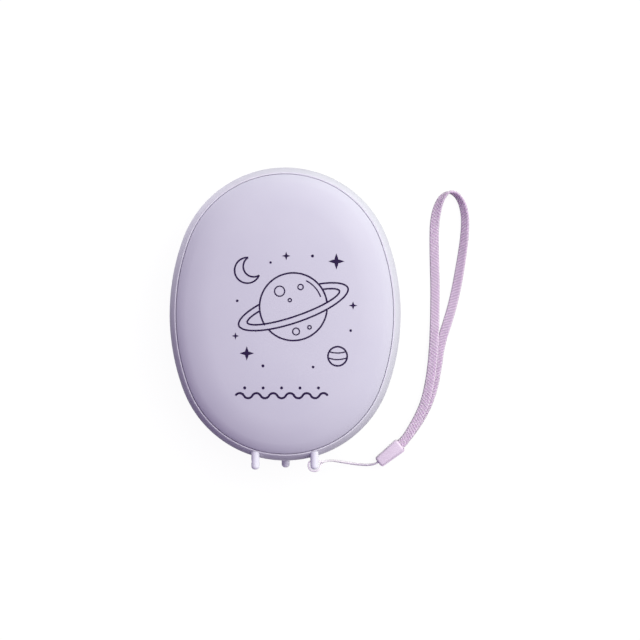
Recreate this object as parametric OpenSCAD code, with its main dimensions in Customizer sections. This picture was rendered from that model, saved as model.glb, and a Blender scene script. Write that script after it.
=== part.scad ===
/* [Body] */
// Length of the oval body
body_l = 100.12; // [96.12:0.5:106.12]
// Radius of the oval's round ends, seen from the front
end_r = 37.2; // [36.2:0.5:38.2]
// Angle, from the short axis, where an end arc hands over to a side arc
join_angle = 20.0582; // [19.0582:0.5:21.0582]
// Thickness of the body from back to front
body_t = 28; // [27.6:0.2:30]

/* [Covers] */
// Radius of the rim's rounding
rim_r = 9.5; // [9:0.1:10]
// Radius of the covers' shoulder
shoulder_r = 11; // [9:0.5:12]
// Radius of the gentle slope inside the shoulder
slope_r = 34; // [30:1:36]
// How far in from the edge the front crown runs before it is flat
front_reach = 36; // [32:0.5:36]
// How far in from the edge the back crown runs before it is flat
back_reach = 25; // [22:0.5:30]
// Wall of the two covers
cover_t = 1.6; // [1.2:0.1:1.8]
// Distance from the edge of the body to the seam
seam_inset = 2.5; // [2.4:0.1:2.9]
// Width of the seam groove
seam_w = 0.3; // [0.2:0.1:0.6]

/* [Frame] */
// Wall of the middle frame
frame_t = 2.2; // [1.8:0.1:2.4]
// How far in the shelves that carry the covers reach
shelf_reach = 6.4; // [6.1:0.1:6.6]
// Thickness of each shelf
shelf_t = 1.6; // [1.4:0.1:1.8]
// Height of the shelf faces above and below the middle plane
shelf_z = 4.6; // [4.6:0.1:5]

/* [Feet] */
// Radius of each foot's post
foot_r = 1.4; // [1.3:0.05:1.5]
// Distance of each front foot from the centre line
foot_x = 10; // [8:0.5:13]
// How far the feet stand out past the end of the body
foot_reach = 2.7; // [2.5:0.1:4]
// Height of the foot posts above or below the middle plane
foot_lift = 6.6; // [6.5:0.05:6.7]
// Radius of the cord eye through each foot
eye_r = 0.65; // [0.55:0.05:0.7]

/* [Button and lights] */
// Length of the power button
button_l = 7; // [6:0.5:8]
// Height of the power button
button_h = 3.2; // [2.6:0.1:3.4]
// How far the button stands out
button_proud = 0; // [0:0.1:0.6]
// Travel of the button
button_travel = 0.5; // [0.2:0.1:0.5]
// Turn of the button and of the lights from the centre line
control_turn = 20.5; // [18:0.5:24]
// Number of battery level lights
light_count = 4; // [3:1:4]
// Pitch of the lights
light_pitch = 2.2; // [2:0.1:2.3]

/* [Charging port] */
// Width of the USB-C shell
usb_w = 8.94; // [8.9:0.02:9]
// Height of the USB-C shell
usb_h = 3.26; // [3.2:0.02:3.3]
// Length of the USB-C shell
usb_l = 7.35; // [7:0.05:8]

/* [Battery] */
// Length of the battery cell
cell_l = 56; // [50:1:57]
// Width of the battery cell
cell_w = 42; // [36:1:43]
// Thickness of the battery cell
cell_t = 9.6; // [8:0.2:9.8]

/* [Strap] */
// Width of the wrist band
band_w = 3.3; // [2.8:0.1:3.5]
// Thickness of the wrist band
band_t = 1; // [0.8:0.05:1.05]
// Radius of the thin cord
cord_r = 0.35; // [0.28:0.01:0.36]

/* [Hidden] */
$fn = 96;
screw_count = 4;
board_screw_count = 2;

// Clearances and overruns
fit = 0.1;
slide_gap = 0.2;
cut_over = 1;
// Past the far side of every outline, for slabs that are filled to the centre
past_centre = body_l / 2;
centre_lap = 1;
wide = body_l * 2;

// The oval: four tangent arcs
end_y = body_l / 2 - end_r;
side_x = end_y / tan(join_angle);
side_r = end_r + end_y / sin(join_angle);
half_l = body_l / 2;

// The section of a cover, as tangent arcs that turn from upright to level
rim_turn = 52;
shoulder_turn = 68;
slope_turn = 82;
turns = [0, rim_turn, shoulder_turn, slope_turn, 90];
arc_steps = [8, 4, 4, 4];
run_in = rim_r * (1 - cos(rim_turn))
  + shoulder_r * (cos(rim_turn) - cos(shoulder_turn))
  + slope_r * (cos(shoulder_turn) - cos(slope_turn));
run_up = rim_r * sin(rim_turn)
  + shoulder_r * (sin(shoulder_turn) - sin(rim_turn))
  + slope_r * (sin(slope_turn) - sin(shoulder_turn));
function crown_r(reach) = (reach - run_in) / cos(slope_turn);
function rise(reach) = run_up + crown_r(reach) * (1 - sin(slope_turn));
band_h = (body_t - rise(front_reach) - rise(back_reach)) / 2;
mid_z = band_h + rise(back_reach);
function radii(reach) = [rim_r, shoulder_r, slope_r, crown_r(reach)];
function centre(reach, i) = i == 0
  ? [-rim_r, band_h]
  : centre(reach, i - 1)
    + (radii(reach)[i - 1] - radii(reach)[i]) * [cos(turns[i]), sin(turns[i])];
function arc_point(reach, depth, i, j) =
  let (a = turns[i] + (turns[i + 1] - turns[i]) * j / arc_steps[i])
  centre(reach, i) + (radii(reach)[i] - depth) * [cos(a), sin(a)];
// Points of the dome, depth below its surface, as [minus the inset, height above the middle plane]
function dome(reach, depth = 0) = concat(
  [arc_point(reach, depth, 0, 0)],
  [for (i = [0 : 3], j = [1 : arc_steps[i]]) arc_point(reach, depth, i, j)]
);
function dome_z(reach, inset, depth = 0) = lookup(-inset, dome(reach, depth));
function dome_past(reach, inset, depth = 0) = concat(
  [[-inset, dome_z(reach, inset, depth)]],
  [for (p = dome(reach, depth)) if (p[0] < -inset - fit / 2) p],
  [[-past_centre, band_h + rise(reach) - depth]]
);
function reversed(list) = [for (i = [len(list) - 1 : -1 : 0]) list[i]];
function upside_down(list) = [for (p = list) [p[0], -p[1]]];
// How far the end's edge, or a line inset from it, is from the middle at x
function end_edge(x, inset = 0) = end_y + sqrt(pow(end_r - inset, 2) - x * x);

module right_of(x) translate([x, -wide / 2]) square(wide);

// Sweeps a section, drawn with the edge of the body at x = 0, round a quarter of the oval
module quarter() {
  translate([0, end_y, 0])
    rotate_extrude(angle = 90 - join_angle, start = join_angle)
      intersection() {
        translate([end_r, 0]) children();
        right_of(0);
      }
  translate([-side_x, 0, 0])
    rotate_extrude(angle = join_angle)
      intersection() {
        translate([side_r, 0]) children();
        right_of(side_x - centre_lap);
      }
}
module oval()
  for (x = [0, 1], y = [0, 1]) mirror([x, 0, 0]) mirror([0, y, 0]) quarter() children();
module oval_slab(inset, low, high)
  oval() polygon([[-inset, low], [-past_centre, low], [-past_centre, high], [-inset, high]]);
module layer(reach, inset, depth, thick)
  oval() polygon(concat(dome_past(reach, inset, depth), reversed(dome_past(reach, inset, depth + thick))));
// Places, with +Y pointing straight out of the edge
module at_mid() translate([0, 0, mid_z]) children();
module to_back() mirror([0, 0, 1]) children();
module at_end(turn) translate([0, end_y, 0]) rotate([0, 0, turn]) children();
module at_side(turn) translate([-side_x, 0, 0]) rotate([0, 0, turn - 90]) children();
module block(size, from) translate([-size[0] / 2, from[0], from[1]]) cube(size);
module pill(length, height) hull()
  for (s = [-1, 1]) translate([s * (length - height) / 2, 0]) circle(d = height, $fn = 32);
// A pill-shaped bar along Y from one radius to another
module bar(length, height, from, to)
  translate([0, to, 0]) rotate([90, 0, 0]) linear_extrude(to - from) pill(length, height);
module rod(r, from, to) translate([0, to, 0]) rotate([90, 0, 0]) cylinder(r = r, h = to - from);

// Covers
edge_ease = 0.3;
cover_edge = seam_inset + seam_w;
clip_turn = 9.5;
clip_w = 8;
clip_t = 1;
clip_hook = 0.6;
clip_hook_h = 0.7;
clip_base_h = 1.4;
clip_in = shelf_reach + fit;
module at_snap_tabs() for (x = [0, 1], s = [-1, 1]) mirror([x, 0, 0]) at_side(s * clip_turn) children();
// A snap tab that hooks under the shelf
module snap_tab() {
  hook_z = shelf_z - shelf_t - fit;
  translate([0, side_r, 0]) rotate([90, 0, 90]) linear_extrude(clip_w, center = true) polygon([
    [-cover_edge - cover_t / 2, shelf_z + fit],
    [-cover_edge - cover_t / 2, shelf_z + clip_base_h],
    [-clip_in - clip_t, shelf_z + clip_base_h],
    [-clip_in - clip_t, hook_z - clip_hook_h],
    [-clip_in, hook_z - clip_hook_h],
    [-clip_in + clip_hook, hook_z - clip_hook_h / 2],
    [-clip_in + clip_hook, hook_z],
    [-clip_in, hook_z],
    [-clip_in, shelf_z + fit]
  ]);
}
module cover(reach) {
  skin = dome_past(reach, cover_edge + edge_ease);
  lining = dome_past(reach, cover_edge + cover_t, cover_t);
  oval() polygon(concat(
    [[-cover_edge, shelf_z], [-cover_edge, dome_z(reach, cover_edge) - edge_ease]],
    skin,
    reversed(lining),
    [[-cover_edge - cover_t, shelf_z]]
  ));
  at_snap_tabs() snap_tab();
}
module front_cover() color("thistle") at_mid() cover(front_reach);
module rear_cover() color("thistle") at_mid() to_back() cover(back_reach);

// Heaters: a printed film under each cover, a spreader plate behind it, then foam to the battery
film_t = 0.25;
plate_t = 0.8;
film_inset = 14;
plate_inset = 17.5;
film_depth = cover_t + fit;
plate_depth = film_depth + film_t + fit;
module front_heater_film() color("sandybrown") at_mid() layer(front_reach, film_inset, film_depth, film_t);
module rear_heater_film() color("sandybrown") at_mid() to_back()
  layer(back_reach, film_inset, film_depth, film_t);
module front_heat_plate() color("silver") at_mid() layer(front_reach, plate_inset, plate_depth, plate_t);
module rear_heat_plate() color("silver") at_mid() to_back()
  layer(back_reach, plate_inset, plate_depth, plate_t);
bead_r = 0.8;
bead_l = 2.4;
bead_inset = 16;
bead_y = half_l - bead_inset;
module thermistor(reach) {
  depth = film_depth + film_t + bead_r + fit;
  translate([-bead_l / 2, bead_y, dome_z(reach, half_l - bead_y, depth)])
    rotate([0, 90, 0]) cylinder(r = bead_r, h = bead_l);
}
module thermistor_front() color("dimgray") at_mid() thermistor(front_reach);
module thermistor_rear() color("dimgray") at_mid() to_back() thermistor(back_reach);

// Battery tray, cell and its protection board
tray_t = 1.2;
tray_z = -6;
tray_inset = 7.3;
tray_ear = 3.25;
tray_wall = 1;
tray_wall_h = 5;
tray_fit = 0.3;
cell_y = -5;
cell_ease = 2;
cell_z = tray_z + tray_t + fit;
pad_ease = 3;
pad_w = cell_w - pad_ease;
pad_l = cell_l - pad_ease;
guard_w = 32;
guard_t = 1.2;
guard_h = 5;
guard_lift = 2;
module cell_outline(grow)
  translate([0, cell_y]) square([cell_w + 2 * grow, cell_l + 2 * grow], center = true);
module battery_tray() color("whitesmoke") at_mid() difference() {
  union() {
    intersection() {
      oval_slab(tray_inset, tray_z, tray_z + tray_t);
      translate([-wide / 2, boss_y(tray_screw_turn) + tray_ear - wide, tray_z - cut_over])
        cube([wide, wide, tray_t + 2 * cut_over]);
    }
    translate([0, 0, tray_z + tray_t / 2]) linear_extrude(tray_t / 2 + tray_wall_h) difference() {
      cell_outline(tray_fit + tray_wall);
      cell_outline(tray_fit);
      // The cell's top end stays open for its protection board.
      translate([-wide / 2, cell_y + cell_l / 2]) square(wide);
    }
  }
  at_tray_screws() translate([0, 0, tray_z - cut_over]) cylinder(r = screw_hole_r, h = tray_t + 2 * cut_over);
  // Room for the rear cover's snap tabs
  at_snap_tabs() translate([0, 0, tray_z - cut_over])
    block([clip_w + 2 * tray_fit, side_r, tray_t + 2 * cut_over], [side_r - clip_in - clip_t - tray_fit, 0]);
}
module battery_cell() color("lightsteelblue") at_mid()
  translate([0, cell_y, cell_z]) linear_extrude(cell_t) polygon([
    for (s = [[1, 1, 0], [1, 1, 1], [-1, 1, 1], [-1, 1, 0], [-1, -1, 0], [-1, -1, 1], [1, -1, 1], [1, -1, 0]])
      [s[0] * (cell_w / 2 - s[2] * cell_ease), s[1] * (cell_l / 2 - (1 - s[2]) * cell_ease)]
  ]);
module protection_board() color("darkgreen") at_mid()
  block([guard_w, guard_t, guard_h], [cell_y + cell_l / 2, cell_z + guard_lift]);
// Foam that fills the space between the battery and the heat plate
module pad(low, high) color("gainsboro") at_mid()
  translate([-pad_w / 2, cell_y - pad_l / 2, low]) cube([pad_w, pad_l, high - low]);
pad_corner_y = abs(cell_y) + pad_l / 2;
pad_inset = end_r - norm([pad_w / 2, pad_corner_y - end_y]);
pad_depth = plate_depth + plate_t + fit;
pad_low_inset = max(pad_inset, plate_inset);
module front_pad() pad(cell_z + cell_t + fit, dome_z(front_reach, pad_low_inset, pad_depth));
module rear_pad() pad(-dome_z(back_reach, pad_low_inset, pad_depth), tray_z - fit);

// Screws and their bosses
screw_r = 0.75;
screw_l = 5;
screw_head_r = 1.75;
screw_head_h = 1.2;
screw_slot = 0.5;
screw_hole_r = 1.1;
pilot_r = 0.8;
boss_r = 2.2;
boss_inset = 9.2;
boss_bottom = -8.2;
rib_w = 2.4;
rib_bottom = -7.4;
riser_inset = 5.6;
riser_end = 7;
tray_screw_turn = 66;
board_screw_turn = 40;
function boss_y(turn) = end_y + (end_r - boss_inset) * cos(turn);
module at_boss(turn) at_end(turn) translate([0, end_r - boss_inset, 0]) children();
module at_tray_screw(i) {
  sx = i % 2;
  sy = i > 2 ? 1 : 0;
  mirror([sx, 0, 0]) mirror([0, sy, 0]) at_boss(tray_screw_turn) children();
}
module at_tray_screws() for (i = [1 : screw_count]) at_tray_screw(i) children();
module at_board_screw(i) mirror([i - 1, 0, 0]) at_boss(board_screw_turn) children();
module at_board_screws() for (i = [1 : board_screw_count]) at_board_screw(i) children();
module boss(top) {
  riser_top = -shelf_z + shelf_t / 2;
  web_top = min(top, riser_top);
  translate([0, 0, boss_bottom]) cylinder(r = boss_r, h = top - boss_bottom);
  translate([0, boss_inset, 0]) rotate([90, 0, 90]) linear_extrude(rib_w, center = true) polygon([
    [-riser_inset, rib_bottom],
    [-riser_inset, riser_top],
    [-riser_end, riser_top],
    [-riser_end, web_top],
    [-boss_inset, web_top],
    [-boss_inset, rib_bottom]
  ]);
}
module pilot(top) translate([0, 0, top - screw_l]) cylinder(r = pilot_r, h = screw_l + cut_over);
module screw(seat, grip) color("gray") translate([0, 0, seat]) difference() {
  rotate_extrude($fn = 32) polygon([
    [0, grip - screw_l + slide_gap],
    [screw_r, grip - screw_l + slide_gap],
    [screw_r, 0],
    [screw_head_r, 0],
    [screw_head_r, screw_head_h / 2],
    [screw_r, screw_head_h],
    [0, screw_head_h]
  ]);
  for (a = [0, 90]) rotate([0, 0, a])
    translate([0, 0, screw_head_h]) cube([2 * screw_r, screw_slot / 2, screw_slot], center = true);
}
module tray_screw(i) at_mid() at_tray_screw(i) screw(tray_z + tray_t, tray_t);
module board_screw(i) at_mid() at_board_screw(i) screw(board_z + board_t, board_t);

// Main board: dropped in through the frame, then slid under the shelves towards the port
board_t = 1;
board_z = -usb_h / 2 - board_t;
board_inset = 7;
board_slide = 4;
board_l = 21.4;
board_low_y = half_l - board_l;
notch_w = 3;
notch_l = 2.6;
lead_x = -13.5;
module main_board() color("darkgreen") at_mid() difference() {
  intersection() {
    translate([0, board_slide, 0]) oval_slab(board_inset, board_z, board_z + board_t);
    translate([-wide / 2, board_low_y, board_z - cut_over]) cube([wide, wide, board_t + 2 * cut_over]);
  }
  at_board_screws() translate([0, 0, board_z - cut_over])
    cylinder(r = screw_hole_r, h = board_t + 2 * cut_over);
  translate([lead_x - notch_w / 2, board_low_y - cut_over, board_z - cut_over])
    cube([notch_w, notch_l + cut_over, board_t + 2 * cut_over]);
  // Room for the button's flange, pressed
  at_end(control_turn) translate([0, flange_in - button_travel - slide_gap, board_z - cut_over])
    block([flange_l + 2 * slide_gap, end_r, board_t + 2 * cut_over], [0, 0]);
}
board_top = board_z + board_t;
ic_size = [6, 6, 1];
ic_x = 9;
ic_inset = 12.5;
coil_r = 2.6;
coil_h = 2.8;
coil_inset = 15.5;
socket_size = [7, 4, 3.4];
socket_inset = 0.8;
socket_y = board_low_y + socket_inset;
battery_socket_x = 8;
heater_socket_x = -7;
module control_ic() color("black") at_mid() translate([ic_x, half_l - ic_inset, board_top])
  translate([-ic_size[0] / 2, -ic_size[1] / 2, 0]) cube(ic_size);
module inductor() color("dimgray") at_mid() translate([0, half_l - coil_inset, board_top])
  cylinder(r = coil_r, h = coil_h);
module socket(x) color("ivory") at_mid() translate([x, 0, 0]) block(socket_size, [socket_y, board_top]);
module battery_socket() socket(battery_socket_x);
module heater_socket() socket(heater_socket_x);

// Charging port
usb_wall = 0.3;
usb_back = 0.6;
usb_slot_gap = 0.3;
usb_front = half_l - usb_back;
tongue_w = 6.69;
tongue_t = 0.7;
tongue_l = 4.4;
tongue_base = 1.8;
module usb_c_shell() color("silver") at_mid() difference() {
  bar(usb_w, usb_h, usb_front - usb_l, usb_front);
  bar(usb_w - 2 * usb_wall, usb_h - 2 * usb_wall, usb_front - usb_l + usb_wall, usb_front + cut_over);
}
module usb_c_tongue() color("black") at_mid() {
  back = usb_front - usb_l + usb_wall;
  bar(usb_w - 2 * usb_wall - fit, usb_h - 2 * usb_wall - fit, back, back + tongue_base);
  translate([0, back + tongue_base / 2, -tongue_t / 2])
    block([tongue_w, tongue_l + tongue_base / 2, tongue_t], [0, 0]);
}

// Power button and its switch, along the line that points out of the edge there
flange_over = 0.8;
flange_rise = 0.5;
flange_l = button_l + 2 * flange_over;
flange_t = 0.8;
button_gap = slide_gap;
frame_in_r = end_r - frame_t;
flange_half = flange_l / 2;
flange_out = sqrt(frame_in_r * frame_in_r - flange_half * flange_half) - fit;
flange_in = flange_out - flange_t;
flange_h = button_h + 2 * flange_rise;
button_face_r = end_r + button_proud;
button_ease = 0.25;
switch_w = 6;
switch_d = 3;
switch_h = 3.4;
plunger_w = 2.4;
plunger_h = 1.4;
plunger_out = 0.9;
plunger_gap = 0.03;
plunger_face = flange_in - plunger_gap;
switch_face = plunger_face - plunger_out;
// A bar whose outer face follows the end's curve
module button_bar(ease, from) intersection() {
  bar(button_l - 2 * ease, button_h - 2 * ease, from, end_r + cut_over);
  translate([0, 0, -button_h]) cylinder(r = button_face_r - button_ease + ease, h = 2 * button_h, $fn = 360);
}
module power_button() color("plum") at_mid() at_end(control_turn) {
  button_bar(0, flange_out - flange_t / 2);
  button_bar(button_ease, flange_out);
  bar(flange_l, flange_h, flange_in, flange_out);
}
module switch_plunger() color("white") at_mid() at_end(control_turn)
  translate([0, 0, -plunger_h / 2])
    block([plunger_w, plunger_out + switch_d / 2, plunger_h], [switch_face - switch_d / 2, 0]);
module tact_switch() color("dimgray") at_mid() at_end(control_turn) difference() {
  block([switch_w, switch_d, switch_h], [switch_face - switch_d, board_top]);
  pocket = switch_d / 2 + button_travel + slide_gap;
  translate([0, 0, -plunger_h / 2 - fit / 2])
    block([plunger_w + fit, pocket + cut_over, plunger_h + fit], [switch_face - pocket, 0]);
}

// Battery level lights
light_r = 0.6;
light_bar_t = 1;
light_bar_h = 2.2;
light_bar_l = (light_count - 1) * light_pitch + light_bar_h;
light_bar_half = light_bar_l / 2;
light_bar_out = sqrt(frame_in_r * frame_in_r - light_bar_half * light_bar_half) - fit;
light_bar_in = light_bar_out - light_bar_t;
light_sunk = 0.1;
led_size = [1.5, 0.8, 2.2];
function light_x(i) = (i - (light_count + 1) / 2) * light_pitch;
function light_face(i) = sqrt(end_r * end_r - light_x(i) * light_x(i)) - light_sunk;
module light_pipe() color("white") at_mid() at_end(-control_turn) {
  bar(light_bar_l, light_bar_h, light_bar_in, light_bar_out);
  for (i = [1 : light_count]) translate([light_x(i), 0, 0])
    rod(light_r, light_bar_out - light_bar_t / 2, light_face(i));
}
module indicator_led(i) color("ivory") at_mid() at_end(-control_turn) translate([light_x(i), 0, 0])
  block(led_size, [light_bar_in - fit - led_size[1], board_top]);

// Feet: a post on the rim, held by a stem through the frame whose head is formed inside
foot_back = 2.2;
foot_tip = half_l + foot_reach;
rear_foot_more = 0.4;
foot_end_ease = 1.2;
eye_y = foot_tip - 2 * foot_r;
blade_w = 1.6;
blade_out = eye_y - eye_r - slide_gap;
stem_r = 0.9;
stem_z = 2.4;
stem_head_r = 1.4;
stem_head_t = 0.5;
pad_half = 2.6;
pad_low_z = 0.6;
pad_start = 1.8;
foot_fit = 0.08;
module post(r, from, to) translate([0, to, 0]) rotate([90, 0, 0]) rotate_extrude() polygon([
  [0, 0],
  [r - foot_end_ease, 0],
  for (a = [15 : 15 : 75]) [r - foot_end_ease * (1 - sin(a)), foot_end_ease * (1 - cos(a))],
  [r, foot_end_ease],
  [r, to - from],
  [0, to - from]
]);
// Where the face that a foot's head sits on lies, clear of the shelf
function foot_seat(x) = end_edge(x + stem_head_r + fit, shelf_reach);
// Drawn at the upper end with the post along +Y; x is how far the foot is off the centre line
module foot_shape(x, grow, tip = foot_tip) {
  edge = end_edge(x);
  head = foot_seat(x) - fit;
  back = edge - foot_back - grow;
  translate([0, 0, foot_lift]) post(foot_r + grow, back, tip);
  translate([-blade_w / 2 - grow, back + fit, stem_z])
    cube([blade_w + 2 * grow, blade_out - back - fit, foot_lift - stem_z]);
  translate([0, 0, stem_z]) rod(stem_r + grow, head - stem_head_t / 2, edge + slide_gap);
}
module foot(x, tip = foot_tip) color("lavender") difference() {
  head = foot_seat(x) - fit;
  union() {
    foot_shape(x, 0, tip);
    translate([0, 0, stem_z]) rod(stem_head_r, head - stem_head_t, head);
  }
  translate([0, eye_y, foot_lift]) rotate([0, 90, 0]) cylinder(r = eye_r, h = wide, center = true);
}
module at_front_foot(s) mirror([0, 1, 0]) translate([s * foot_x, 0, 0]) children();
module at_rear_foot() mirror([0, 1, 0]) to_back() children();
module foot_front_left() at_mid() at_front_foot(-1) foot(foot_x);
module foot_front_right() at_mid() at_front_foot(1) foot(foot_x);
module foot_rear() at_mid() at_rear_foot() foot(0, foot_tip + rear_foot_more);
module foot_pad(x) {
  seat = foot_seat(x);
  block([2 * pad_half, end_edge(x) - pad_start - seat, shelf_z - shelf_t / 2 - pad_low_z], [seat, pad_low_z]);
}

// Middle frame
function rim_outline() = concat(
  [for (p = dome(front_reach)) if (p[0] > -seam_inset + edge_ease) p],
  [[-seam_inset + edge_ease, dome_z(front_reach, seam_inset - edge_ease)]],
  [[-seam_inset, dome_z(front_reach, seam_inset) - edge_ease]],
  [[-seam_inset, shelf_z], [-shelf_reach, shelf_z]],
  [[-shelf_reach, shelf_z - shelf_t], [-frame_t, shelf_z - shelf_t]]
);
module frame() color("lavender") at_mid() difference() {
  union() {
    oval() polygon(concat(rim_outline(), reversed(upside_down(rim_outline()))));
    for (s = [-1, 1]) at_front_foot(s) foot_pad(foot_x);
    at_rear_foot() foot_pad(0);
    at_tray_screws() boss(tray_z);
    at_board_screws() boss(board_z);
  }
  at_tray_screws() pilot(tray_z);
  at_board_screws() pilot(board_z);
  bar(usb_w + 2 * usb_slot_gap, usb_h + 2 * usb_slot_gap, frame_in_r, half_l + cut_over);
  at_end(control_turn)
    bar(button_l + 2 * button_gap, button_h + 2 * button_gap, frame_in_r - cut_over, end_r + cut_over);
  at_end(-control_turn) for (i = [1 : light_count]) translate([light_x(i), 0, 0])
    rod(light_r + fit, frame_in_r - cut_over, end_r + cut_over);
  for (s = [-1, 1]) at_front_foot(s) foot_shape(foot_x, foot_fit);
  at_rear_foot() foot_shape(0, foot_fit);
}

// Smooth curve through a list of points
function spline_at(p, i, t) =
  let (a = p[max(i - 1, 0)], b = p[i], c = p[i + 1], d = p[min(i + 2, len(p) - 1)])
  0.5 * (2 * b + (c - a) * t + (2 * a - 5 * b + 4 * c - d) * t * t + (3 * b - a - 3 * c + d) * t * t * t);
function smooth(p, steps) = concat(
  [for (i = [0 : len(p) - 2], k = [0 : steps - 1]) spline_at(p, i, k / steps)],
  [p[len(p) - 1]]
);
function unit(v) = v / norm(v);
function path_l(p) = len(p) < 2 ? 0 : let (d = [for (i = [1 : len(p) - 1]) norm(spot(p[i]) - spot(p[i - 1]))])
  [for (i = 0, s = d[0]; i < len(d); i = i + 1, s = s + (i < len(d) ? d[i] : 0)) s][len(d) - 1];
function spot(p) = [p[0], p[1], p[2]];
function ahead(p, i) = unit(spot(p[min(i + 1, len(p) - 1)]) - spot(p[max(i - 1, 0)]));
// One closed tube: rings holds the points of each ring, in order along it
module tube(rings) {
  n = len(rings[0]);
  last = len(rings) - 1;
  polyhedron(
    points = [for (r = rings) each r],
    faces = concat(
      [[for (k = [n - 1 : -1 : 0]) k]],
      [for (i = [0 : last - 1], k = [0 : n - 1]) each [
        [i * n + k, i * n + (k + 1) % n, (i + 1) * n + k],
        [i * n + (k + 1) % n, (i + 1) * n + (k + 1) % n, (i + 1) * n + k]
      ]],
      [[for (k = [0 : n - 1]) last * n + k]]
    )
  );
}
cord_sides = 8;
up = [0, 0, 1];
steep_share = 0.9;
function round_ring(p, i, r) =
  let (t = ahead(p, i), side = unit(cross(t, abs(t[2]) > steep_share ? [1, 0, 0] : up)), top = cross(side, t))
  [for (k = [0 : cord_sides - 1]) let (a = 360 * k / cord_sides)
    spot(p[i]) + r * (cos(a) * side + sin(a) * top)];
module round_cord(p, r) tube([for (i = [0 : len(p) - 1]) round_ring(p, i, r)]);

// Leads inside the body
lead_r = 0.5;
lead_steps = 3;
lead_pitch = 2.4;
lead_top = board_top + socket_size[2];
// Height of a film's inner face where a lead meets it
function film_z(reach, x, y) =
  dome_z(reach, end_r - norm([x, y - end_y]) - lead_r, film_depth + film_t) - fit;
guard_out = cell_y + cell_l / 2 + guard_t;
lead_z = cell_z + guard_lift + guard_h / 2;
socket_z = board_top + socket_size[2] / 2;
function battery_lead(x) = [
  [x, guard_out + fit, lead_z],
  [x, guard_out + lead_pitch, lead_z],
  [x, socket_y - lead_r * 2, socket_z],
  [x, socket_y - fit, socket_z]
];
module lead(route, shade) color(shade) at_mid() round_cord(smooth(route, lead_steps), lead_r);
module battery_lead_plus() lead(battery_lead(battery_socket_x - lead_pitch / 2), "red");
module battery_lead_minus() lead(battery_lead(battery_socket_x + lead_pitch / 2), "black");
front_lead_x = heater_socket_x + lead_pitch / 2;
rear_lead_x = heater_socket_x - lead_pitch / 2;
lead_drop = 2;
lead_y = socket_y + lead_drop / 4;
socket_mid = socket_y + socket_size[1] / 2;
front_film = film_z(front_reach, front_lead_x, bead_y);
rear_film = -film_z(back_reach, lead_x, lead_y);
module heater_lead_front() lead([
  [front_lead_x, socket_mid, lead_top + slide_gap],
  [front_lead_x, socket_mid, lead_top + lead_drop],
  [front_lead_x, bead_y, (lead_top + front_film) / 2],
  [front_lead_x, bead_y, front_film - lead_drop],
  [front_lead_x, bead_y, front_film]
], "white");
module heater_lead_rear() lead([
  [rear_lead_x, socket_mid, lead_top + slide_gap],
  [rear_lead_x, socket_mid, lead_top + lead_drop / 2],
  [lead_x + lead_drop / 2, socket_y + lead_drop / 2, lead_top + lead_drop / 2],
  [lead_x, lead_y, board_top],
  [lead_x, lead_y, board_z - lead_drop],
  [lead_x, lead_y, rear_film]
], "white");

// Strap clip: two halves, wider where the band enters
clip_start = [32.2, -51.58];
strap_turn = 38.6;
strap_clip_l = 9.9;
strap_clip_front_w = 3.4;
strap_clip_rear_w = 4.6;
strap_clip_h = 4.4;
strap_clip_front_corner = 0.5;
strap_clip_rear_corner = 0.9;
strap_clip_bevel = 0.6;
strap_clip_side_share = 0.5;
strap_clip_ledge = 0.3;
strap_clip_shift = 0.3;
strap_clip_split = 0.1;
// Pocket for the band's two ends, one above the other, and slot for the cord's
band_pocket_l = 2.6;
band_level = 0.6;
cord_slot_l = 1.6;
cord_level = 0.5;
module at_clip() translate([clip_start[0], clip_start[1], 0]) rotate([0, 0, strap_turn]) children();
module clip_outline(shrink) hull() for (s = [-1, 1]) {
  side = shrink * (shrink > 0 ? strap_clip_side_share : 1);
  a = strap_clip_front_corner;
  b = strap_clip_rear_corner;
  translate([shrink / 2 + a, s * (strap_clip_front_w / 2 - side - a)]) circle(a, $fn = 24);
  translate([strap_clip_l - shrink / 2 - b, s * (strap_clip_rear_w / 2 - side - b)]) circle(b, $fn = 24);
}
module clip_half(grow, h) hull() {
  linear_extrude(h - strap_clip_bevel) clip_outline(-grow);
  linear_extrude(h) clip_outline(strap_clip_bevel - grow);
}
half_clip_h = (strap_clip_h - strap_clip_split) / 2;
module clip_pocket(from, to, half_w, half_h)
  translate([from, -half_w - slide_gap, strap_clip_h / 2 - half_h - slide_gap])
    cube([to - from, 2 * (half_w + slide_gap), 2 * (half_h + slide_gap)]);
module clip_pockets() {
  clip_pocket(strap_clip_l - band_pocket_l, strap_clip_l + cut_over, band_w / 2, band_level + band_t / 2);
  clip_pocket(-cut_over, cord_slot_l, cord_r, cord_level + cord_r);
}
module strap_clip_upper() color("thistle") at_clip() difference() {
  translate([0, 0, strap_clip_h - half_clip_h]) clip_half(0, half_clip_h);
  clip_pockets();
}
module strap_clip_lower() color("thistle") at_clip() difference() {
  translate([0, -strap_clip_shift, half_clip_h]) mirror([0, 0, 1]) clip_half(strap_clip_ledge, half_clip_h);
  clip_pockets();
}

// Thin cord: from the clip, through the right foot's eye, round its tip and back to the clip
string_route = [
  [32.98, -50.96, 2.7],
  [32.2, -51.58, 2.7],
  [31.2, -52.2, 2.6],
  [28.5, -52.6, 1.6],
  [24.5, -52.3, 1.4],
  [20.5, -51.6, 3],
  [17.2, -50.7, 8],
  [15, -50.3, 14],
  [13.2, -50.1, 19],
  [11.6, -49.98, 20.2],
  [10, -49.96, 20.2],
  [8.4, -50.1, 20.2],
  [8.02, -51.4, 20.2],
  [8.6, -52.85, 20.1],
  [10.1, -53.3, 20],
  [11.6, -52.75, 19.9],
  [12, -51.6, 19.5],
  [12.4, -50.75, 18.4],
  [13.5, -50.35, 15.6],
  [14.9, -50.45, 11.3],
  [16.6, -50.9, 6.6],
  [19.9, -51.8, 2],
  [24.5, -52.6, 0.5],
  [28.5, -52.85, 0.6],
  [31.2, -52.35, 1.4],
  [32.2, -51.58, 1.7],
  [32.98, -50.96, 1.7]
];
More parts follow.
